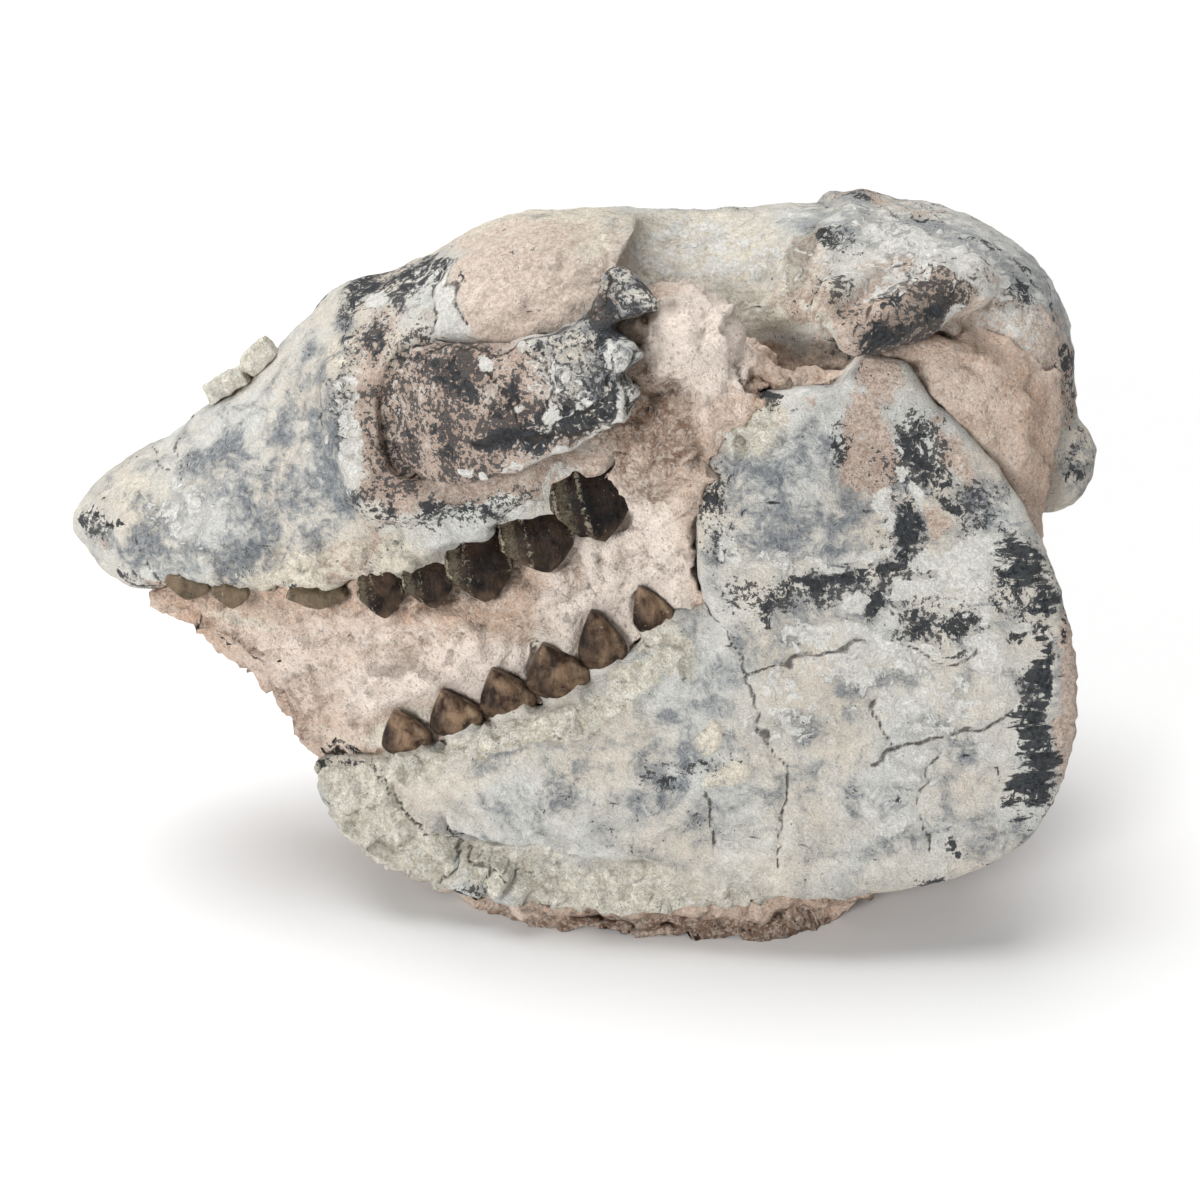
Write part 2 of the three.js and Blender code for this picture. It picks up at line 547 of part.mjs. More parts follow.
const stoneSolid = cut(stoneBody(), [...sockets.stone, headLoft(face, GAP), headLoft(braincase, GAP), floor]);
const stoneSplits = [-22, 44];
const stonePart = (from, to) => cut(stoneSolid, [beyond(from + GAP / 2, -1), beyond(to - GAP / 2, 1)]);
add('stone_front', stonePart(SNOUT_TIP_X, stoneSplits[0]), sandstone);
add('stone_middle', stonePart(...stoneSplits), sandstone);
add('stone_rear', stonePart(stoneSplits[1], NAPE_X), sandstone);

export default skull;
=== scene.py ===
"""A fossil oreodont skull with its lower jaw, held in pink sandstone, as a museum shows it.

Shapes are worked out in millimetres in the skull's own frame: X from snout to nape, Y from the
animal's left side to its right, Z from jaw to crown, with the origin in the middle of the mouth.
SKULL_TO_ROW leans that frame back and stands it on the floor, in metres.
"""
import math
from functools import partial

import bpy
import numpy as np
from mathutils import Matrix, Vector


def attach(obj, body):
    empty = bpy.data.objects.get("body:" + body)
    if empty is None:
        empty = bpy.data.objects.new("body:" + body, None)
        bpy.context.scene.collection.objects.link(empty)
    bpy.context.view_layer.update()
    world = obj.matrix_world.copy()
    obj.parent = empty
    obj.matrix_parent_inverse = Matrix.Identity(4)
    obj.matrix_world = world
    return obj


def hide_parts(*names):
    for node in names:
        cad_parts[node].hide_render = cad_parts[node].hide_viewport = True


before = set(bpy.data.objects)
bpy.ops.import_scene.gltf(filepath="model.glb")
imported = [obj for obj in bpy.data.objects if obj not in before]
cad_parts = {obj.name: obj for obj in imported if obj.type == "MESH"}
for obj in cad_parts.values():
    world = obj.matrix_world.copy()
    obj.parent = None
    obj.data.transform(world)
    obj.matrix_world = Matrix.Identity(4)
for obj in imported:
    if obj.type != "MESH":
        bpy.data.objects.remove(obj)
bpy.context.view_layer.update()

MM = 0.001
MERGE_GAP = 0.002 * MM
LEAN = math.radians(16)
REST_SHIFT = Vector((4.6, -8.6, 51.9))
SKULL_TO_ROW = (
    Matrix.Diagonal((MM, MM, MM, 1))
    @ Matrix.Translation(REST_SHIFT)
    @ Matrix.Rotation(-LEAN, 4, "X")
)
ROW_TO_SKULL = SKULL_TO_ROW.inverted()


# ---- camera and light

CAMERA_DISTANCE = 420 * MM
CAMERA_HEIGHT = math.radians(26)
target = REST_SHIFT * MM
away = Vector((0, -math.cos(CAMERA_HEIGHT), math.sin(CAMERA_HEIGHT)))
bpy.ops.object.camera_add(
    location=target + away * CAMERA_DISTANCE,
    rotation=(math.pi / 2 - CAMERA_HEIGHT, 0, 0),
)
camera = bpy.context.object
camera.data.sensor_width = 36
camera.data.lens = 63.5
camera.data.clip_start = 0.01
bpy.context.scene.camera = camera
bpy.context.scene.view_settings.view_transform = "Standard"

bpy.ops.mesh.primitive_plane_add(size=6)
floor = bpy.context.object
floor.name = "studio_floor"


def soft_light(name, place, size, watts, aim):
    """One large softbox that looks at the specimen."""
    bpy.ops.object.light_add(type="AREA", location=place)
    lamp = bpy.context.object
    lamp.name = name
    lamp.data.shape = "DISK"
    lamp.data.size = size
    lamp.data.energy = watts
    lamp.rotation_euler = (Vector(aim) - Vector(place)).to_track_quat("-Z", "Y").to_euler()


bpy.ops.object.light_add(
    type="SUN",
    location=(-0.3, -0.3, 1.2),
    rotation=(math.radians(-14), math.radians(-10), 0),
)
overhead = bpy.context.object
overhead.name = "overhead_softbox"
overhead.data.energy = 3.0
overhead.data.angle = math.radians(50)
soft_light("front_fill", (-0.65, -1.05, 0.45), 0.4, 11.3, (0, 0, 0.05))


# ---- colours and nodes


def tone(code):
    """An sRGB hex colour as linear red, green, blue and alpha."""
    parts = [int(code[i : i + 2], 16) / 255 for i in (1, 3, 5)]
    return tuple(c / 12.92 if c <= 0.04045 else ((c + 0.055) / 1.055) ** 2.4 for c in parts) + (1.0,)


def add_node(tree, kind, output=0, **wiring):
    """Adds a shader node and gives back one output: lower-case names are settings, the rest inputs."""
    node = tree.nodes.new("ShaderNode" + kind)
    for key, value in wiring.items():
        if key[0].islower():
            setattr(node, key, value)
            continue
        socket = node.inputs[int(key[1:]) if key[0] == "_" else key.replace("_", " ")]
        if isinstance(value, bpy.types.NodeSocket):
            tree.links.new(value, socket)
        else:
            socket.default_value = value
    return node.outputs[output] if len(node.outputs) else None


def new_material(name):
    """An empty material, the way to add nodes to it, and the place on the piece in millimetres."""
    material = bpy.data.materials.new(name)
    material.use_nodes = True
    material.node_tree.nodes.clear()
    add = partial(add_node, material.node_tree)
    place = add("Mapping", Vector=add("TexCoord", "Object"), Scale=(1 / MM, 1 / MM, 1 / MM))
    return material, add, place


def mix(add, amount, under, over):
    """One colour laid over another."""
    return add("Mix", 2, data_type="RGBA", _0=amount, _6=under, _7=over)


def spread(add, value, low, high, bottom=0.0, top=1.0):
    """A noise's range from low to high, drawn out evenly."""
    return add("MapRange", Value=value, From_Min=low, From_Max=high, To_Min=bottom, To_Max=top)


def step(add, value, low, high, top=1.0):
    """Nothing below low, top above high, and a soft rise between."""
    return add(
        "MapRange",
        interpolation_type="SMOOTHSTEP",
        Value=value,
        From_Min=low,
        From_Max=high,
        To_Max=top,
    )


def painted(add, name):
    """A layer of paint that the piece's points carry."""
    return add("Attribute", "Fac", attribute_name=name)


def frayed(add, name, noises, start, full, strength):
    """How much of a painted layer shows, its edge frayed by each noise in its own share."""
    amount = painted(add, name)
    for noise, share in noises:
        amount = add("Math", operation="MULTIPLY_ADD", _0=noise, _1=share, _2=amount)
    middle = sum(share for _, share in noises) / 2
    return step(add, amount, start + middle, full + middle, strength)


def cracked(add, colour, noise, start, full, strength, tint):
    """The colour with its painted cracks drawn in, and how deep they are."""
    crack = add("Math", operation="MULTIPLY_ADD", _0=noise, _1=0.3, _2=painted(add, "crack"))
    crack = step(add, crack, start, full, strength)
    return mix(add, crack, colour, tone(tint)), crack


def gritty(add, place, colour, size, dark, bright):
    """The colour with grit in it, drawn coarser than the real grit so that it shows."""
    grit = add("TexNoise", Vector=place, Scale=1 / size, Detail=3, Roughness=0.7)
    return add("VectorMath", operation="SCALE", _0=colour, Scale=spread(add, grit, 0.3, 0.7, dark, bright))


def embossed(add, *layers):
    """Fine relief from these heights, each with its depth in millimetres: below nought it dents."""
    relief = {}
    for height, depth in layers:
        bump = add("Bump", Height=height, Distance=abs(depth) * MM, invert=depth < 0, **relief)
        relief = {"Normal": bump}
    return bump


def fossil_bone():
    """Fossil bone: chalky and matt, cream to bluish white, clouded with grey and inked by manganese, with
    shadow painted into its crevices and hollows.
    """
    material, add, place = new_material("fossil_bone")
    stretched = add("Mapping", Vector=place, Rotation=(0, 0.35, 0), Scale=(0.16, 0.6, 1.0))
    broad = add("TexNoise", Vector=place, Scale=1 / 26, Detail=3)
    clouds = add("TexNoise", Vector=place, Scale=1 / 8, Detail=7, Roughness=0.62, Distortion=0.5)
    fine = add("TexNoise", Vector=place, Scale=1 / 2.4, Detail=9, Roughness=0.68, Distortion=0.9)
    grain = add("TexNoise", Vector=place, Scale=1 / 0.9, Detail=5, Roughness=0.7)
    streaks = add("TexNoise", Vector=stretched, Scale=1 / 1.7, Detail=6, Roughness=0.62, Distortion=0.3)
    pores = add("TexNoise", Vector=place, Scale=1 / 0.7, Detail=3, Roughness=0.6)
    colour = mix(add, spread(add, broad, 0.42, 0.6), tone("#d9d9d4"), tone("#dcd3c5"))
    colour = mix(add, step(add, clouds, 0.4, 0.66, 0.6), colour, tone("#b0afa9"))
    colour = mix(add, step(add, fine, 0.5, 0.7, 0.65), colour, tone("#f3f0e9"))
    # each layer: its paint, how far one noise and the clouds fray it, start, full, strength, two tints
    layers = (
        ("cream", fine, 1.6, 0.8, 0.2, 0.9, 0.85, "#d8ccb8", "#f4ecdb"),
        ("smoke", fine, 3.2, 3.6, 0.2, 1.3, 0.92, "#60676e", "#90959a"),
        ("streak", streaks, 3.4, 0.6, 0.55, 1.1, 0.7, "#81878b", "#a6a9a9"),
        ("rock", fine, 1.6, 0.6, 0.3, 0.8, 0.95, "#e3dac5", "#fffcf0"),
        ("blush", fine, 2.2, 1.0, 0.25, 0.7, 0.95, "#b09888", "#dac8ba"),
        ("fill", fine, 1.6, 0.8, 0.25, 0.8, 0.95, "#cdb8a8", "#e9dacc"),
        # painted shadow: darkens crevices, hollows and the bone under ledges; also the grey-brown of the
        # temple rod
        ("shade", fine, 0.8, 0.4, 0.1, 1.1, 0.8, "#5f5a50", "#7b766a"),
        ("pepper", grain, 3.8, 2.0, 0.58, 0.72, 0.9, "#1b1c20", "#3c3b3c"),
        # dark spots, and painted shadow along the temple rod
        ("dark_spots_and_painted_shadow", fine, 4.0, 1.6, 0.64, 0.8, 0.95, "#15171b", "#3d4145"),
        ("ink", streaks, 3.8, 0.8, 0.68, 0.86, 0.95, "#16181c", "#40454a"),
        ("flake", fine, 3.4, 0.8, 0.5, 0.75, 0.9, "#d6d4ce", "#efede7"),
    )
    dapple = step(add, grain, 0.38, 0.6)
    for name, noise, near, wide, start, full, strength, deep, light in layers:
        amount = frayed(add, name, ((noise, near), (clouds, wide)), start, full, strength)
        colour = mix(add, amount, colour, mix(add, dapple, tone(deep), tone(light)))
    colour = gritty(add, place, colour, 0.33, 0.74, 1.16)
    colour = mix(add, step(add, pores, 0.68, 0.74, 0.8), colour, tone("#5d564e"))
    colour, crack = cracked(add, colour, grain, 0.99, 1.12, 0.85, "#3a332d")
    coarse = add("Math", operation="MULTIPLY", _0=painted(add, "rock"), _1=fine)
    relief = embossed(add, (grain, 0.42), (fine, 1.2), (streaks, 0.4), (coarse, 0.3), (crack, -0.5))
    skin = add("BsdfPrincipled", Base_Color=colour, Roughness=0.74, Normal=relief, Specular_IOR_Level=0.35)
    add("OutputMaterial", Surface=skin)
    return material


def pink_sandstone():
    """Fine sandstone: sugary pink-tan grains with pale and rusty ones among them, dead matt, with shadow
    painted into its lows and beside the bones.
    """
    material, add, place = new_material("pink_sandstone")
    broad = add("TexNoise", Vector=place, Scale=1 / 16, Detail=4)
    clouds = add("TexNoise", Vector=place, Scale=1 / 4, Detail=7, Roughness=0.7, Distortion=0.5)
    fine = add("TexNoise", Vector=place, Scale=1 / 1.5, Detail=6, Roughness=0.7)
    # sand grains are a quarter of a millimetre, drawn at a half so that they show
    grains = add("TexVoronoi", "Color", Vector=place, Scale=1 / 0.5)
    edges = add("TexVoronoi", "Distance", Vector=place, Scale=1 / 0.5)
    pale = spread(add, add("SeparateColor", 0, Color=grains), 0.35, 1, 0, 0.5)
    rusty = spread(add, add("SeparateColor", 1, Color=grains), 0.8, 1, 0, 0.42)
    colour = mix(add, spread(add, broad, 0.38, 0.62), tone("#dfcbbb"), tone("#cdae98"))
    # each layer: its paint, the noise that frays it and how far, start, full, strength, tint
    layers = (
        ("cream", clouds, 1.6, 0.15, 0.75, 1.0, "#ebe2d2"),
        ("pale", clouds, 1.4, 0.15, 0.8, 0.95, "#f6e7db"),
        # painted shadow in the lows and beside the bones, with darker sand
        ("painted_shadow_and_dark_sand", clouds, 2.4, 0.3, 1.05, 0.9, "#7c6251"),
        ("dark_spots_and_painted_shadow", fine, 1.6, 0.5, 0.62, 1.0, "#2a2725"),
    )
    for name, noise, near, start, full, strength, tint in layers:
        amount = frayed(add, name, ((noise, near),), start, full, strength)
        colour = mix(add, amount, colour, tone(tint))
    colour = mix(add, pale, colour, tone("#ece3d8"))
    colour = mix(add, rusty, colour, tone("#7d6152"))
    colour, _ = cracked(add, colour, fine, 0.96, 1.08, 1.0, "#2b2521")
    colour = gritty(add, place, colour, 0.3, 0.78, 1.14)
    relief = embossed(add, (edges, -0.12), (fine, 0.7), (clouds, 1.2))
    skin = add("BsdfPrincipled", Base_Color=colour, Roughness=0.95, Normal=relief, Specular_IOR_Level=0.2)
    add("OutputMaterial", Surface=skin)
    return material


def fossil_enamel():
    """Fossil tooth enamel: glossy, near-black brown in its hollows, olive to pearl where it is thin, and
    near-black where shadow is painted on the lower crowns.
    """
    material, add, place = new_material("fossil_enamel")
    streaks = add("Mapping", Vector=place, Scale=(1.4, 1.4, 0.4))
    streaks = add("TexNoise", Vector=streaks, Scale=1 / 1.1, Detail=6, Roughness=0.6, Distortion=0.6)
    nicks = add("TexNoise", Vector=place, Scale=1 / 0.9, Detail=5, Roughness=0.7, Distortion=1.2)
    clouds = add("TexNoise", Vector=place, Scale=1 / 3.5, Detail=4, Roughness=0.55, Distortion=0.6)
    clouds = add("Math", operation="MULTIPLY_ADD", _0=streaks, _1=0.35, _2=clouds)
    dapple = spread(add, clouds, 0.55, 0.82)
    fresh = mix(add, dapple, tone("#060403"), tone("#251811"))
    brown = mix(add, dapple, tone("#3f2d24"), tone("#9c8168"))
    colour = mix(add, painted(add, "worn"), fresh, brown)
    colour = mix(add, frayed(add, "olive", ((nicks, 2.4),), 0.4, 1.1, 0.6), colour, tone("#6d6552"))
    colour = mix(add, frayed(add, "rib", ((nicks, 2.4),), 0.6, 0.95, 0.6), colour, tone("#a89d88"))
    colour = mix(add, step(add, nicks, 0.66, 0.7), colour, tone("#c4b9a6"))
    relief = embossed(add, (streaks, 0.25), (nicks, 0.18))
    gloss = spread(add, nicks, 0.35, 0.7, 0.14, 0.34)
    skin = add("BsdfPrincipled", Base_Color=colour, Roughness=gloss, Normal=relief, Specular_IOR_Level=0.15)
    add("OutputMaterial", Surface=skin)
    return material


def studio_paper():
    """Matt white backdrop paper."""
    material, add, _ = new_material("studio_paper")
    skin = add("BsdfPrincipled", Base_Color=tone("#ececec"), Roughness=0.9)
    add("OutputMaterial", Surface=skin)
    return material


floor.data.materials.append(studio_paper())
world = bpy.data.worlds.new("studio")
bpy.context.scene.world = world
world.use_nodes = True
world.node_tree.nodes["Background"].inputs["Color"].default_value = tone("#ffffff")
world.node_tree.nodes["Background"].inputs["Strength"].default_value = 0.28


# ---- shaping


def pick(*pieces):
    """Selects these pieces alone, the last of them active."""
    bpy.ops.object.select_all(action="DESELECT")
    for piece in pieces:
        piece.select_set(True)
    bpy.context.view_layer.objects.active = pieces[-1]


def finish_modifier(piece, kind, **settings):
    """Adds a modifier, sets it and applies it."""
    pick(piece)
    modifier = piece.modifiers.new(kind.title(), kind)
    for key, value in settings.items():
        setattr(modifier, key, value)
    bpy.ops.object.modifier_apply(modifier=modifier.name)


def cast_of(name, nodes, voxel, smoothing, grow=0.25):
    """One skin over copies of these nodes, the thin cuts between them closed."""
    copies = []
    for node in nodes:
        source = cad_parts[node]
        copy = bpy.data.objects.new(name, source.data.copy())
        bpy.context.scene.collection.objects.link(copy)
        copies.append(copy)
    pick(*copies)
    if len(copies) > 1:
        bpy.ops.object.join()
    piece = bpy.context.object
    piece.name = name
    piece.data.materials.clear()
    bpy.ops.object.mode_set(mode="EDIT")
    bpy.ops.mesh.select_all(action="SELECT")
    bpy.ops.mesh.remove_doubles(threshold=MERGE_GAP)
    bpy.ops.object.mode_set(mode="OBJECT")
    finish_modifier(piece, "DISPLACE", strength=grow * MM, mid_level=0.0)
    finish_modifier(piece, "REMESH", mode="VOXEL", voxel_size=voxel * MM)
    finish_modifier(piece, "SMOOTH", factor=0.5, iterations=smoothing)
    pick(piece)
    bpy.ops.object.shade_smooth()
    return piece


def points_of(piece):
    """The piece's points in the skull's frame, and their outward normals."""
    mesh = piece.data
    spots = np.empty(len(mesh.vertices) * 3)
    mesh.vertices.foreach_get("co", spots)
    normals = np.empty(len(mesh.vertices) * 3)
    mesh.vertex_normals.foreach_get("vector", normals)
    turn = np.array(ROW_TO_SKULL)
    placed = spots.reshape(-1, 3) @ turn[:3, :3].T + turn[:3, 3]
    facing = normals.reshape(-1, 3) @ turn[:3, :3].T * MM
    return placed, facing


def put_points(piece, placed):
    """Moves the piece's points to these places in the skull's frame, none of them below the floor."""
    turn = np.array(SKULL_TO_ROW)
    spots = placed @ turn[:3, :3].T + turn[:3, 3]
    spots[:, 2] = np.maximum(spots[:, 2], 0)
    piece.data.vertices.foreach_set("co", spots.ravel())
    piece.data.update()


def rise(value, low, high):
    """A soft step: 0 below low, 1 above high."""
    part = np.clip((value - low) / (high - low), 0, 1)
    return part * part * (3 - 2 * part)


def bell(value, width, power=2):
    """1 where the value is nought, falling away on both sides over about this width."""
    return np.exp(-((np.abs(value) / width) ** power))


LUMP_GRID = 32
CHIP_GRID = 16


def lumps(placed, millimetres, seed):
    """Smooth noise from -1 to 1 with lumps of about that size."""
    grid = np.random.default_rng(seed).uniform(-1, 1, (LUMP_GRID,) * 3)
    spot = placed / millimetres + 100
    cell = np.floor(spot).astype(int)
    part = spot - cell
    part = part * part * (3 - 2 * part)
    total = np.zeros(len(placed))
    for corner in np.ndindex(2, 2, 2):
        share = np.prod(np.where(corner, part, 1 - part), axis=1)
        a, b, c = ((cell + corner) % LUMP_GRID).T
        total += share * grid[a, b, c]
    return total


def rough(placed, millimetres, seed, octaves=3):
    """Lumps within lumps."""
    return sum(lumps(placed, millimetres / 2**k, seed + k) / 2**k for k in range(octaves))


def chips(placed, millimetres, seed):
    """Broken rock: tilted facets of about that size, stepped where they meet, from -1 to 1."""
    draw = np.random.default_rng(seed)
    centres = draw.uniform(0, 1, (CHIP_GRID,) * 3 + (3,))
    slopes = draw.uniform(-1, 1, (CHIP_GRID,) * 3 + (3,))
    spot = placed / millimetres + 160
    spot += 0.15 * np.stack([lumps(placed, millimetres / 2, seed + k) for k in (1, 2, 3)], 1)
    cell = np.floor(spot).astype(int)
    nearest = np.full(len(placed), np.inf)
    height = np.zeros(len(placed))
    for corner in np.ndindex(3, 3, 3):
        home = cell + corner - 1
        a, b, c = (home % CHIP_GRID).T
        away = spot - home - centres[a, b, c]
        slope = slopes[a, b, c]
        far = np.linalg.norm(away, axis=1)
        height = np.where(far < nearest, np.sum(away * slope, axis=1) + 0.4 * slope[:, 0], height)
        nearest = np.minimum(nearest, far)
    return height


def seen(placed):
    """Where each point is from the side. The right side's marks are moved about, so that the sides differ."""
    spots = placed[:, [0, 2]].copy()
    for size, shift, seed in ((9, 1.6, 61), (3.5, 1.1, 63), (1.8, 0.5, 65)):
        spots += shift * np.stack([lumps(placed, size, seed), lumps(placed, size, seed + 1)], 1)
    right = placed[:, 1] > 0
    other = placed[right]
    spots[right] += 7 * np.stack([lumps(other, 24, 40), lumps(other, 24, 41)], 1)
    return spots


def line_distance(spots, path):
    """How far each spot is from a line through these X and Z places."""
    path = np.array(path, float)
    nearest = np.full(len(spots), np.inf)
    for start, end in zip(path[:-1], path[1:]):
        along = end - start
        share = np.clip((spots - start) @ along / (along @ along), 0, 1)
        nearest = np.minimum(nearest, np.linalg.norm(spots - start - share[:, None] * along, axis=1))
    return nearest


def lines(spots, *paths):
    """1 on these lines, falling to 0 at 2.5 mm from them."""
    return 1 - np.clip(np.min([line_distance(spots, path) for path in paths], axis=0) / 2.5, 0, 1)


def patches(spots, marks):
    """Soft ovals seen from the side: each is x, z, half-length, half-height, turn in degrees and strength."""
    total = np.zeros(len(spots))
    for x, z, length, height, turn, strength in marks:
        cos, sin = math.cos(math.radians(turn)), math.sin(math.radians(turn))
        dx, dz = spots[:, 0] - x, spots[:, 1] - z
        far = np.hypot((dx * cos + dz * sin) / length, (dz * cos - dx * sin) / height)
        total = np.maximum(total, strength * (1 - rise(far, 0.65, 1.55)))
    return total


def set_paint(piece, **layers):
    """Stores these layers of paint, 0 to 1, on the piece's points."""
    for name, values in layers.items():
        layer = piece.data.attributes.new(name, "FLOAT", "POINT")
        layer.data.foreach_set("value", np.clip(values, 0, 1).astype(np.float32))


def ready(piece, slot, material, *nodes):
    """Gives a finished piece its material, its body and the solids it stands for."""
    piece.data.materials.clear()
    piece.data.materials.append(material)
    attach(piece, "root")
    if nodes:
        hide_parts(*nodes)


bone = fossil_bone()
stone = pink_sandstone()
enamel = fossil_enamel()

FINE = 0.7
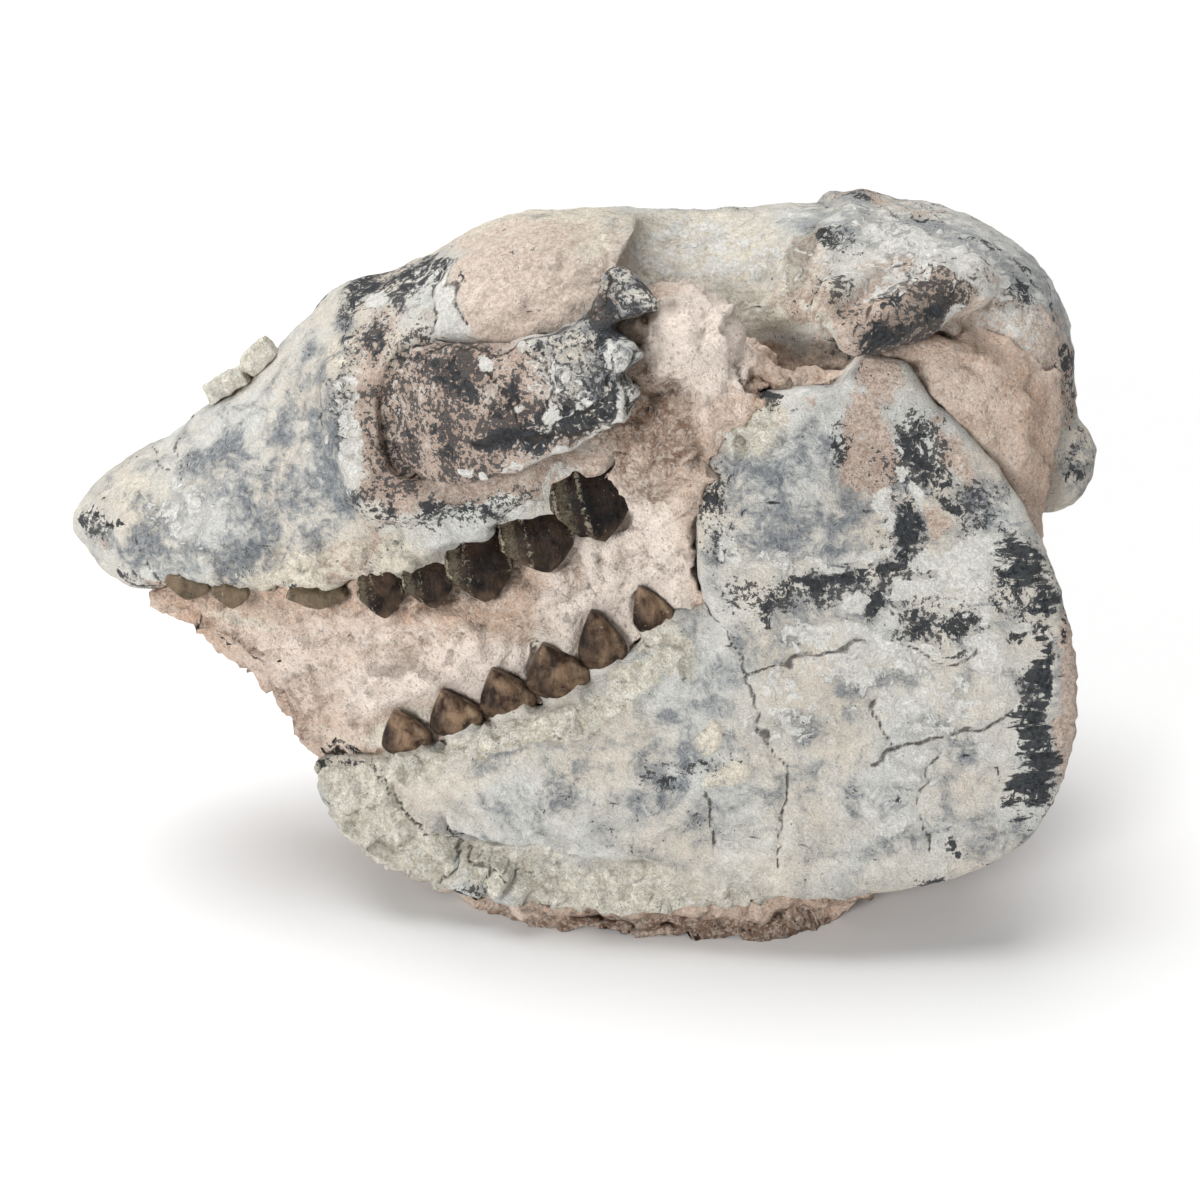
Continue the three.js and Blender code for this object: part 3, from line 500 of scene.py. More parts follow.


# ---- where the stains, clouds, flakes, cracks and painted shadow lie, in millimetres seen from the side

HEAD_MARKS = {
    "dark_spots_and_painted_shadow": [
        (-100, 17, 1.4, 2.3, 10, 0.95), (-96, 18, 2.7, 0.8, -10, 0.75), (-92, 17, 1.2, 1, 0, 0.9),
        (-91, 7, 3, 1, -45, 0.8), (-88, 4, 2.7, 1.3, -30, 0.6), (-93, 8, 1.9, 1, -30, 0.7),
        (-54, 59, 2.6, 1.5, 20, 0.6), (-45, 60, 1.8, 2.4, 0, 0.8), (-33, 64.5, 8, 2, 8, 0.9),
        (-43, 62, 4, 2, 20, 0.8), (-29, 66, 2.5, 1.4, 0, 0.95), (-45, 52, 2.2, 1.6, 0, 0.45),
        (-37, 52, 5.8, 3.2, 10, 0.55), (-51, 38, 1.7, 1.1, 20, 0.55), (-43, 38, 0.7, 4.4, -80, 0.4),
        (-37, 22, 4.8, 1.1, 8, 0.75), (-30, 22, 3.7, 1.1, 8, 0.9), (-20, 22, 6.2, 1.1, 10, 0.8),
        (-14, 23, 1.8, 0.9, 10, 0.8), (-58, 5, 0.6, 1.5, 5, 0.85), (-53, 4, 1.7, 0.7, -20, 0.75),
        (-48, 5, 1.9, 1.1, 30, 0.85), (-53, 2, 7.5, 0.6, 2, 0.75), (-69, 2, 4.5, 1.1, 0, 0.7),
        (43, 70, 1.7, 2.1, 40, 0.95), (46, 70, 2.6, 1.1, 20, 0.5), (77, 62, 4.2, 2.5, -5, 0.9),
        (55, 76, 9.4, 0.6, -8, 0.7), (71, 70, 7.6, 0.6, -25, 0.65), (80, 65, 4.2, 0.8, -45, 0.7),
        (74, 66, 5.7, 0.6, -30, 0.5), (84, 59, 1, 4.2, 0, 0.5), (86, 48, 1, 2.3, 0, 0.9),
        (88, 44, 0.8, 1.9, 10, 0.8), (90, 35, 1.5, 1.2, 0, 0.8), (90, 26, 2.7, 1.7, 0, 0.6),
        # black painted shadow under the temple rod and in the hollow at its front end, this row and the next
        (51, 50.5, 6, 1.1, 18, 0.95), (59, 55, 4, 1.1, 35, 0.9), (47, 56, 1.8, 1.6, 0, 1),
        (45.2, 54, 0.9, 3, -20, 0.95), (48.5, 61, 2.2, 1.3, 30, 1), (55, 59, 3.4, 0.8, 15, 0.9),
        (50, 56, 2, 1, 30, 0.7), (62, 62, 1.4, 1.1, 0, 0.5), (59, 66, 1.8, 0.7, 0, 0.5),
        (70, 45, 1.5, 0.9, 30, 0.55), (75, 54, 1.5, 1.9, 0, 0.5),
    ],
    "smoke": [
        (-62, 25, 24, 13, 25, 0.92), (-80, 16, 14, 9, 10, 0.8), (-48, 50, 8, 8, 0, 0.5),
        (-70, 32, 14, 5, 30, 0.6), (-58, 30, 5.2, 2.8, 25, 1), (-65, 22, 4.5, 3.2, 20, 0.95),
        (-63, 18, 3.8, 2.3, 10, 0.9), (-67, 29, 3, 1.5, 10, 0.6), (-64, 35, 3.8, 1.9, 20, 0.8),
        (-53, 36, 4.1, 2.6, 0, 0.85), (-49, 25, 3.3, 3, 0, 0.6), (-53, 31, 5.6, 3.7, 20, 0.7),
        (-77, 28, 7.6, 3.4, 30, 0.45), (-74, 15, 4.9, 4.2, 0, 0.35), (-94, 25, 2.7, 1.6, 30, 0.4),
        (-88, 13, 1.5, 1.7, 0, 0.8), (-83, 13, 1.1, 2.3, 0, 0.7), (-16, 71, 6.9, 1.8, 10, 0.45),
        (-34, 60, 3.6, 4.7, 0, 0.55), (0, 72, 4.4, 1.9, 20, 0.4), (7, 69, 3.3, 1.9, -40, 0.45),
        (18, 63, 7.4, 1.5, 0, 0.25), (56, 75, 13.2, 1.6, -12, 0.5), (74, 64, 7, 3.5, -30, 0.6),
        (80, 54, 3.8, 6.5, -10, 0.4), (47, 72, 6.4, 2.6, 0, 0.6), (87, 41, 1.9, 7.7, 0, 0.5),
        (91, 28, 4.6, 5.8, 0, 0.8), (-44, 64, 5.5, 3.7, 0, 0.5),
    ],
    "blush": [
        (-40, 38, 3.5, 14, 0, 0.75), (-36, 26, 7, 4, 0, 0.8), (-24, 26, 14, 3, 8, 0.8),
        (47, 58, 8, 5, 20, 0.8), (58, 63, 7, 3, 12, 0.7), (78, 42, 10, 14, 0, 0.8), (-38, 44, 7, 14, 0, 0.5),
        (-82, 5, 4.9, 1.9, -10, 0.8), (-96, 13, 1.9, 1.5, 0, 0.4), (-48, 12, 5.6, 4.5, 0, 0.35),
        (-41, 30, 1.5, 5.5, 0, 0.6), (-32, 57, 2.5, 1.8, 0, 0.3), (7, 52, 10.9, 4.7, -15, 0.9),
        (-7, 30, 20, 3.6, 10, 0.75), (-31, 25, 11, 2.9, 6, 0.6), (40, 68, 5, 4, 40, 0.5),
        (-42, 18, 6.6, 2.9, 20, 0.45), (18, 44, 11, 8.4, 0, 1), (28, 48, 10.9, 3.6, -10, 1),
        (18, 55, 6.6, 2.6, -20, 0.7), (44, 47, 7.2, 5.4, 0, 1), (52, 60, 12.4, 7.1, 20, 0.85),
        (67, 49, 14.7, 11.1, 0, 1), (73, 36, 11.2, 11.2, 0, 1), (82, 50, 3.8, 9.5, 0, 0.6),
        (36, 60, 4.1, 5.6, 30, 0.5), (66, 29, 11.1, 5.5, 0, 1), (55, 77, 11.3, 0.9, -6, 0.5),
        (9, 67, 3, 1.5, -30, 0.45),
    ],
    "fill": [
        (-13.5, 62, 12.7, 8.6, 2, 1), (-14, 58, 11, 7, 0, 1), (-13, 71, 14, 2.5, 4, 0.8),
        (2, 64, 4, 8, -20, 0.9), (6, 56, 5, 8, 10, 0.9), (66, 58, 12, 7, -10, 0.9), (76, 46, 9, 12, 0, 0.8),
        (60, 48, 12, 6, 0, 0.8),
    ],
    "flake": [
        (-40, 60, 2.7, 2, 0, 1), (-51, 62, 1.7, 1.7, 0, 0.9), (-50, 34, 1.3, 0.9, -20, 0.9),
        (-44, 32, 1.6, 7.3, 0, 0.8), (-45, 42, 1.5, 4.8, -10, 0.7), (-28.5, 59.5, 1.3, 6, -8, 1),
        (-27, 54, 2.4, 1.4, 0, 1), (-30, 54, 1.8, 1.3, 0, 1), (-79, 22, 6.5, 4.6, 10, 0.5),
        (-76, 18, 5.7, 3.8, 0, 0.5), (-13, 23, 4, 1.1, 20, 1), (-8, 26, 1.8, 1.8, 0, 0.9),
        (-6, 30, 2.2, 1.3, 20, 0.8), (60, 70, 8.3, 1.3, -12, 0.9), (49, 67, 5.6, 1.9, -20, 0.7),
        (62, 67, 6.4, 1.5, -15, 0.6), (61, 57.5, 2.2, 1.9, 30, 1), (65.5, 62, 1.6, 1.4, 0, 1),
        (50, 63.5, 6, 0.5, 32, 1), (20, 68, 16, 8, 0, 0.65), (62, 68, 14, 5, -25, 0.8),
        (46, 66, 6, 5, 0, 0.6), (74, 56, 8, 6, -30, 0.6), (74, 60, 3.8, 1.5, 0, 0.6),
    ],
    "cream": [
        (-12, 73, 18, 4, 4, 1), (8, 69, 10, 7, 0, 1), (-46, 11, 14, 5, 5, 1), (-62, 8, 12, 4, 5, 0.9),
        (-46, 50, 3.5, 3, 0, 0.8), (20, 68, 16, 9, 0, 1), (28, 62, 14, 8, -10, 0.9), (-72, 12, 6, 3, 0, 0.7),
        (-60, 10, 14, 4, 10, 0.8), (-88, 22, 5, 3, 30, 0.6), (-83, 20, 1, 5, -15, 0.9),
        (-8, 72, 8, 4, 0, 0.5), (38, 66, 3, 7, -35, 0.8), (-50, 12, 7, 6, 0, 0.6),
    ],
    # painted shadow under the temple rod, along the gums of the upper teeth, in the fold over the temple and
    # behind the eye; the first mark is the grey-brown of the rod itself
    "shade": [
        (54, 58, 11, 5, 32, 0.6), (45, 44, 10, 3, -5, 0.9), (54, 47, 6, 2.5, 35, 0.9),
        (-30, 13, 14, 1.2, 20, 0.7), (-12, 24, 9, 1.3, 22, 0.7), (46, 50, 12, 2.5, -2, 0.9),
        (38, 68, 2, 7, -35, 0.7), (6, 69, 3, 6, 35, 0.4), (62, 52, 8, 2, 20, 0.5), (-66, 2, 9, 1.5, 0, 0.5),
        (-22, 25, 14, 1.5, 10, 0.5),
    ],
    "streak": [
        (62, 68, 26, 8, -28, 1), (80, 55, 8, 14, 0, 1), (50, 74, 14, 4, -5, 0.9), (86, 42, 4, 16, 0, 0.8),
    ],
    "pepper": [
        (-97, 17, 4, 3, 0, 0.6), (-88, 5, 5, 2, -35, 0.55), (-39, 62, 8, 4, 8, 0.8), (-46, 58, 3, 4, 0, 0.5),
        (-30, 65, 3, 2, 0, 0.6), (-36, 52, 7, 5, 10, 0.6), (-26, 21, 16, 2.5, 9, 0.6),
        (-14, 25, 10, 1.5, 12, 0.6), (-38, 24, 7, 4, 10, 0.6), (-41, 36, 3, 10, 0, 0.62),
        (54, 57, 11, 6, 32, 0.74), (50, 52, 8, 2, 15, 0.8), (58, 63, 10, 4, 10, 0.65), (42, 61, 3, 4, 0, 0.7),
        (-52, 4, 9, 1.6, 0, 0.5), (-44, 38, 3, 8, 0, 0.4), (45, 70, 3, 3, 0, 0.6), (77, 62, 5, 3, 0, 0.6),
        (88, 44, 2, 6, 0, 0.5), (90, 30, 4, 4, 0, 0.5), (58, 77, 13, 1, -6, 0.4), (-43, 46, 4, 5, 0, 0.4),
    ],
}
HEAD_CRACKS = [
    [(-86, 30), (-83, 27)], [(-82, 33), (-79, 25)], [(-38, 25), (-34, 21), (-31, 17)],
    [(-28.5, 67), (-30.5, 60), (-30, 56), (-32, 52.5)], [(-26.5, 66), (-27, 60), (-25, 55)],
    [(44, 50), (52, 49.5), (58, 53), (65, 58)], [(43.6, 56), (46, 60.5), (54, 66)],
    [(-96, 18), (-90, 16), (-88, 14), (-85, 8), (-83, 4)],
]
JAW_MARKS = {
    "dark_spots_and_painted_shadow": [
        (20, 27, 1.8, 4, 5, 0.95), (29, 44, 2.3, 0.5, -5, 0.9), (24, 43, 2.5, 0.5, 20, 0.7),
        (42, 35, 2, 3.6, 10, 0.9), (40, 38, 1.1, 1.4, 0, 0.7), (55, 34, 2.9, 4.3, 10, 0.95),
        (59, 30, 3.6, 2.5, -20, 0.95), (62, 25, 2.9, 1.4, -40, 0.9), (57, 38, 2.1, 1.8, 0, 0.7),
        (54, 20, 2, 5.4, 8, 0.8), (51, 12, 6, 1.6, 18, 0.85), (43, 11, 5, 1.2, 10, 0.85),
        (36, 9, 4, 1.2, 0, 0.8), (30, 7, 5.4, 1.4, 4, 0.75), (30, 3, 0.9, 2.9, 0, 0.9),
        (27, 9, 2.5, 1.4, 10, 0.6), (49, 6, 2.1, 2, 0, 1), (64, 3, 2.9, 2.5, 0, 0.95),
        (65, -3, 3.6, 0.9, 14, 1), (58, 2, 2, 2.2, 0, 0.55), (72, 19, 2.9, 1.8, -40, 0.7),
        (74, 14, 4.7, 2, -50, 0.8), (72, 10, 4.7, 2, -40, 0.8), (78, 4, 2.2, 4.4, -10, 0.8),
        (75, -1, 1.5, 1.8, 0, 0.9), (80, -2, 1.5, 2.6, 0, 0.9), (70, 6, 1.4, 2.2, 0, 0.7),
        (38, 0, 1.3, 1.4, 0, 0.95), (22, 17, 1.4, 2.2, 30, 0.5), (24, 21, 1.4, 3.2, -30, 0.5),
        (80, -7, 1.5, 3, 0, 0.8), (78, -16, 3.3, 2.9, -10, 0.9), (81, -20, 3.3, 2.2, -10, 0.8),
        (80, -27, 3.5, 4.1, 10, 0.8), (77, -30, 2.2, 2.6, -40, 0.9), (83, -33, 3, 2.2, 0, 0.9),
        (77, -14, 2.6, 1.8, 0, 0.9), (84, 5, 0.7, 7.4, 0, 0.6), (41, -7, 1.1, 1.1, 0, 0.8),
        (36, -17, 0.9, 1.1, 0, 0.75), (74, -24, 0.9, 1.1, 0, 0.9), (66, -41, 1.1, 1.9, 20, 1),
        (74, -44, 1.7, 1.3, -20, 1), (63, -49, 3, 1.3, 15, 1), (60, -50, 1.5, 1.1, 0, 0.95),
        (37, -20, 0.9, 0.9, 0, 0.6), (66, -21, 1.3, 0.9, 0, 0.6), (54, -30, 1.5, 0.9, 0, 0.6),
        (-29, -39, 1.3, 1.1, -30, 0.95), (-25, -55, 2.3, 1.1, -40, 0.85), (-54, -29, 3.1, 0.8, 10, 0.95),
        (-50, -28, 1.9, 0.6, 8, 0.85), (14, -28, 1.6, 1.1, 10, 0.8), (18, -24, 1.6, 0.9, 20, 0.8),
        (25, -25, 1.3, 0.7, 10, 0.7), (10, -32, 1.1, 0.7, 0, 0.55),
    ],
    "smoke": [
        (40, -12, 40, 26, 0, 0.42), (40, 24, 20, 14, 0, 0.85), (-6, -26, 18, 7, 15, 0.5),
        (72, -30, 14, 14, 0, 0.45), (27, 30, 8, 10, 0, 0.95), (25, 33, 2.5, 2.5, 0, 0.8),
        (24, 20, 3.6, 7.2, -30, 0.8), (39, 20, 9, 3.9, 0, 0.75), (35, 29, 7.2, 5.4, 0, 0.35),
        (69, 24, 5.1, 4.7, -45, 0.8), (47, 3, 10.8, 3.6, 0, 0.2), (41, -7, 2.5, 2.2, 0, 0.8),
        (36, -18, 2.9, 3.3, -40, 0.85), (46, -10, 3.6, 2.2, 0, 0.7), (55, -9, 4.7, 4.4, 0, 0.8),
        (62, -15, 4, 3.3, 20, 0.85), (66, -21, 4, 2.6, 15, 0.85), (53, -30, 4, 3.3, 0, 0.8),
        (56, -38, 4.8, 3.3, -20, 0.75), (62, -33, 2.9, 3.7, 0, 0.45), (30, -30, 2.2, 1.6, 0, 0.6),
        (20, -8, 4.7, 3.6, 0, 0.7), (21, -14, 3.6, 2.2, 0, 0.7), (16, -22, 2.9, 2.6, 0, 0.8),
        (39, -28, 4, 2.2, 0, 0.4), (73, -27, 2.2, 1.8, 0, 0.5), (72, -39, 4.8, 2.6, 20, 0.5),
        (-14, -22, 6.3, 1.7, 22, 0.85), (-7, -28, 3.7, 2.6, 10, 0.7), (14, -28, 3.7, 2.2, 0, 0.85),
        (9, -32, 4, 1.8, 0, 0.7), (10, -17, 4.4, 2.6, 0, 0.7), (0, -20, 4.4, 1.8, 20, 0.6),
        (18, -14, 2.9, 2.6, 0, 0.7), (-21, -40, 6.3, 1.1, -14, 0.8), (4, -27, 5.5, 3.7, 0, 0.4),
        (18, -1, 2.9, 9.1, -10, 0.45), (29, -12, 2.9, 5.4, 0, 0.25), (86, -14, 1.5, 14.9, 0, 0.45),
    ],
    "flake": [
        (48, -4, 14, 5, -5, 0.75), (60, -14, 12, 5, 0, 0.6), (32, -14, 8, 8, 0, 0.55),
        (66, 12, 5, 8, -40, 0.8), (47, 15, 3, 1.2, 15, 1), (39, 13, 3, 1.2, 0, 0.9), (56, 25, 1.2, 2, 0, 1),
        (50, 23, 1.5, 3, 0, 0.8), (58, 14, 2, 3, 0, 0.9), (53, 29, 1.4, 2, 0, 1), (51, 17, 0.9, 1.8, 0, 1),
        (57, 8, 4.7, 1.6, 10, 1), (65, 14, 3.2, 6.1, -50, 1), (68, 10, 0.9, 1.4, -30, 1),
        (69, 4, 1.1, 1.8, 0, 1), (76, 1, 0.9, 1.1, 0, 1), (81, -1, 0.9, 1.5, 0, 0.9),
        (30, 13, 3.6, 2.5, 0, 0.6), (45, 6, 2.5, 1.8, 0, 1), (42, 0, 9, 2.5, 0, 0.8),
        (59, -3, 1.8, 1.4, 0, 1), (54, 9, 1.4, 1.3, 0, 1), (75, -32, 1.8, 1.1, 20, 1),
        (81, -33, 0.9, 1.1, 0, 1), (70, -3, 4.7, 3.6, 0, 0.9), (23, 15, 1.1, 2.9, 20, 0.7),
        (56, -24, 7.3, 3.7, 20, 0.5), (72, -20, 3.7, 2.2, 0, 0.7), (54, -35, 2.9, 1.7, 0, 0.8),
        (27, -42, 5.5, 4.8, 0, 0.35),
    ],
    "blush": [
        (47, 35, 4.6, 9.2, 10, 0.95), (59, 22, 2.2, 2.9, 0, 0.7), (87, -3, 3.2, 26, 0, 1),
        (85, 12, 1.9, 5.6, 20, 0.7), (63, 34, 2.5, 6.1, 35, 0.6), (18, 30, 1.4, 7.2, 0, 0.4),
        (50, 48, 3.2, 5, 0, 0.85), (20, 37, 2.2, 4.7, 20, 0.6), (70, -48, 9.4, 1.5, 20, 0.5),
        (35, 43, 2.5, 1.4, 0, 0.4),
    ],
    "rock": [
        (-36, -28, 6, 2.4, -4, 1), (-27, -25, 6, 2.4, 10, 1), (-16, -20, 7, 2.6, 22, 1),
        (-5, -16, 7, 3, 24, 1), (5, -11, 7, 3, 30, 0.9), (12, -4, 4, 5, 30, 0.8), (26, 38, 5, 5.5, 0, 0.8),
        (-44, -36, 6.5, 8.7, 40, 1), (-37, -45, 6.5, 7.6, 50, 1), (-51, -32, 5, 3.8, 0, 1),
        (-33, -50, 5.7, 4.6, 0, 1), (-19, -49, 8.3, 4.2, -8, 0.85), (-8, -52, 11.3, 4.9, -5, 0.8),
        (8, -51, 11.3, 6.4, 0, 0.7), (19, -52, 9.4, 4.5, 5, 0.6), (-15, -45, 9.4, 2.2, 0, 0.8),
        (-25, -45, 4.9, 3, -30, 0.9), (34, -52, 11.2, 2.2, 8, 0.6), (50, -53, 9.4, 1.5, 4, 0.6),
    ],
    "cream": [
        (20, -19, 2.4, 2.9, 0, 1), (23, -27, 4.2, 2, 8, 1), (-36, -28, 4.9, 1.9, -6, 1),
        (-27, -25, 5.6, 1.7, 8, 1), (-16, -19, 6.3, 1.7, 24, 1), (-5, -16, 6.2, 2.6, 24, 1),
        (5, -11, 6.2, 2.6, 30, 1), (11, -3, 3.6, 4.7, 30, 0.9), (-40, -26, 3.8, 2.7, 0, 1),
        (-23, -29, 6.3, 3.7, 10, 0.5), (29, 38, 3.6, 5.4, 0, 0.95), (26, 38, 2.5, 4.3, 0, 0.7),
        (84, -34, 2.6, 4.1, -30, 0.7), (80, -39, 4.5, 1.7, 30, 0.7), (31, -40, 8.5, 7.4, 0, 0.45),
        (83, 12, 1.9, 2.6, 0, 0.5), (72, -35, 4.4, 1.5, -30, 0.5),
    ],
    "streak": [(86, 0, 4, 30, 0, 0.7), (74, 12, 8, 14, -40, 0.6), (40, 20, 16, 5, 0, 0.5)],
    "ink": [
        (75, 13, 6, 4, -50, 0.9), (79.5, -9, 2, 12, 0, 0.9), (80, -24, 4, 8, 0, 0.9), (79, 3, 3, 6, 0, 0.8),
        (77, -15, 4, 2.5, 0, 0.8), (78, -31, 4, 3, -30, 0.7),
    ],
    "pepper": [
        (56, 33, 6, 7, 0, 0.75), (53, 17, 5, 9, 8, 0.55), (44, 10, 14, 4, 10, 0.6), (29, 7, 7, 3.5, 0, 0.75),
        (21, 24, 2.5, 9, 5, 0.7), (60, 3, 9, 4, 0, 0.6), (75, 10, 7, 6, -45, 0.5), (79, -12, 3, 13, 0, 0.55),
        (80, -27, 4, 8, 0, 0.6), (42, 36, 3, 5, 10, 0.6), (27, 42, 6, 2, 0, 0.6), (22, 18, 3.5, 5, -30, 0.4),
        (62, -49, 5, 2, 15, 0.6), (67, 24, 5, 5, -45, 0.5), (66, -41, 2, 3, 0, 0.5), (74, -44, 3, 2, 0, 0.5),
        (-50, -28, 6, 1.2, 8, 0.6), (-24, -54, 4, 2, -30, 0.5), (18, -25, 7, 2, 15, 0.35),
        (12, -29, 4, 2, 10, 0.35),
    ],
}
JAW_CRACKS = [
    [(16, 7), (19, 4), (23, -1), (26, -8), (25, -9), (30, -20), (34, -27), (33, -34), (33, -43)],
    [(26, -8), (37, -4), (49, -1)], [(75, -13), (67, -17), (59, -19), (54, -22), (50, -24)],
    [(50, -12), (52, -18), (54, -22)], [(62, -22), (58, -28), (60, -35), (62, -42)],
    [(19, -30), (20, -35), (22, -41)],
    [
        (-44, -27), (-42, -31), (-39, -35), (-35, -38), (-32, -41), (-30, -42), (-27, -46), (-22, -49),
        (-21, -57),
    ],
    [(-30, -43), (-29, -47), (-30, -52)], [(-22, -48), (-13, -50)],
    [(22, 41), (18, 37), (18, 27), (18, 17), (16, 9), (16, 7)], [(56, -2), (59, -5), (63, -6), (68, -3)],
    [(11, -57), (20, -59), (21, -56)],
]
CHEEK_MARKS = {
    "dark_spots_and_painted_shadow": [
        (-36, 62, 6.1, 1.4, 10, 0.7), (-31, 64, 4.3, 1.3, 0, 0.8), (-40, 53, 2.5, 1.8, -30, 0.6),
        (-35, 51, 5.3, 2.1, -20, 0.7), (-28, 48, 4.2, 2.8, -30, 0.65), (-21, 44, 4.9, 2.4, -30, 0.7),
        (-43, 36, 1.8, 5.3, 0, 0.45), (-35, 38, 7, 5.3, 20, 0.42), (-30, 33, 7, 1.8, 10, 0.6),
        (-19, 35, 4.6, 1.2, 10, 0.95), (-7, 40, 8.7, 1.9, 12, 1), (-1, 42, 3.8, 2.1, 10, 1),
        (-14, 37, 7, 2.1, 10, 0.9), (2, 44, 1.4, 2.4, 20, 1), (5, 44, 1.6, 1.4, 40, 1),
        (-16, 46, 1.7, 2.8, 20, 0.75), (-10, 53, 4.2, 1.4, -10, 0.6), (0, 46, 2.4, 1.7, 30, 0.6),
        (-4, 49, 1.4, 2.1, 0, 0.5), (2, 60, 2.5, 2.5, 0, 0.55), (9, 59, 2.1, 1.4, 10, 0.6),
        (0, 55, 4.2, 1.4, 30, 0.7),
    ],
    "smoke": [
        (2, 59, 7.1, 6, 30, 1), (-7, 55, 5.3, 2.5, 20, 0.8), (-20, 39, 3.9, 1.9, 0, 0.9),
        (-8, 47, 7, 6, 0, 0.9), (1, 51, 6, 4, 0, 0.9), (-17, 50, 5.3, 2.5, 0, 0.6),
        (-31, 55, 4.3, 2.5, 0, 0.6), (-28, 40, 10.5, 5.3, 10, 0.4),
    ],
    "flake": [
        (-20, 51, 1.1, 1.1, 0, 1), (-14, 53, 1.1, 1.1, 0, 1), (-9, 40, 1.7, 1, 10, 1),
        (-15, 42, 1.4, 1, 20, 1), (-4, 43, 1.2, 0.9, 30, 1), (-16, 32, 2.1, 0.6, 5, 0.7),
        (-6, 36, 5.2, 0.5, 25, 0.9), (2, 40, 2.8, 0.5, 30, 1), (-24, 30, 1.1, 0.7, 0, 1),
        (-21, 30, 0.9, 0.7, 0, 1), (-36, 48, 0.7, 0.7, 0, 1), (-38, 45, 0.7, 0.7, 0, 1),
        (-8, 46, 5, 4.5, 0, 0.55), (2, 51, 5, 2.4, 10, 0.6), (3, 44, 0.9, 3.1, 0, 0.8),
        (-35, 60, 1.4, 1.1, 0, 0.5),
    ],
    "blush": [
        (-30, 32, 16, 6, 0, 0.9), (-43, 36, 5, 12, 0, 0.8), (-24, 44, 16, 13, 0, 0.75), (0, 60, 3, 3, 0, 0.5),
        (-16, 36, 16, 4, 10, 0.5), (-38, 44, 6, 10, 0, 0.4), (-22, 52, 5.3, 1.8, 0, 0.4),
    ],
    "pepper": [
        (-5, 47, 10, 7, 0, 0.56), (-30, 31, 14, 4, 0, 0.62), (-43, 34, 4, 9, 0, 0.6),
        (-25, 43, 16, 10, 8, 0.68), (-37, 40, 7, 14, 0, 0.7), (-30, 50, 9, 4, 10, 0.7),
        (-12, 38, 16, 3.5, 12, 0.7), (-32, 58, 8, 5, 10, 0.7), (-20, 47, 9, 4, -30, 0.7),
        (-33, 34, 9, 3, 10, 0.6), (4, 60, 8, 6, 30, 0.75), (-5, 54, 9, 2, 10, 0.6), (3, 46, 2, 5, 0, 0.6),
        (-10, 41, 10, 2.5, 12, 0.8), (-17, 39, 7, 4, 20, 0.8), (0, 43, 5, 3, 20, 0.8),
    ],
}
CHEEK_CRACKS = [
    [(-32, 52), (-23, 52), (-13, 54), (-7, 56), (0, 61), (1, 65)],
    [(8, 53), (3, 48), (4, 44), (5, 42), (7, 46)], [(-13, 52), (-9, 49), (-7, 45), (-2, 41)],
    [(-9, 52), (-8, 46), (-10, 41)], [(-3, 53), (0, 49), (-2, 44)], [(-45, 43), (-44, 34), (-41, 26)],
    [(-24, 34), (-12, 37), (3, 40)], [(-20, 50), (-17, 46), (-16, 40)],
]
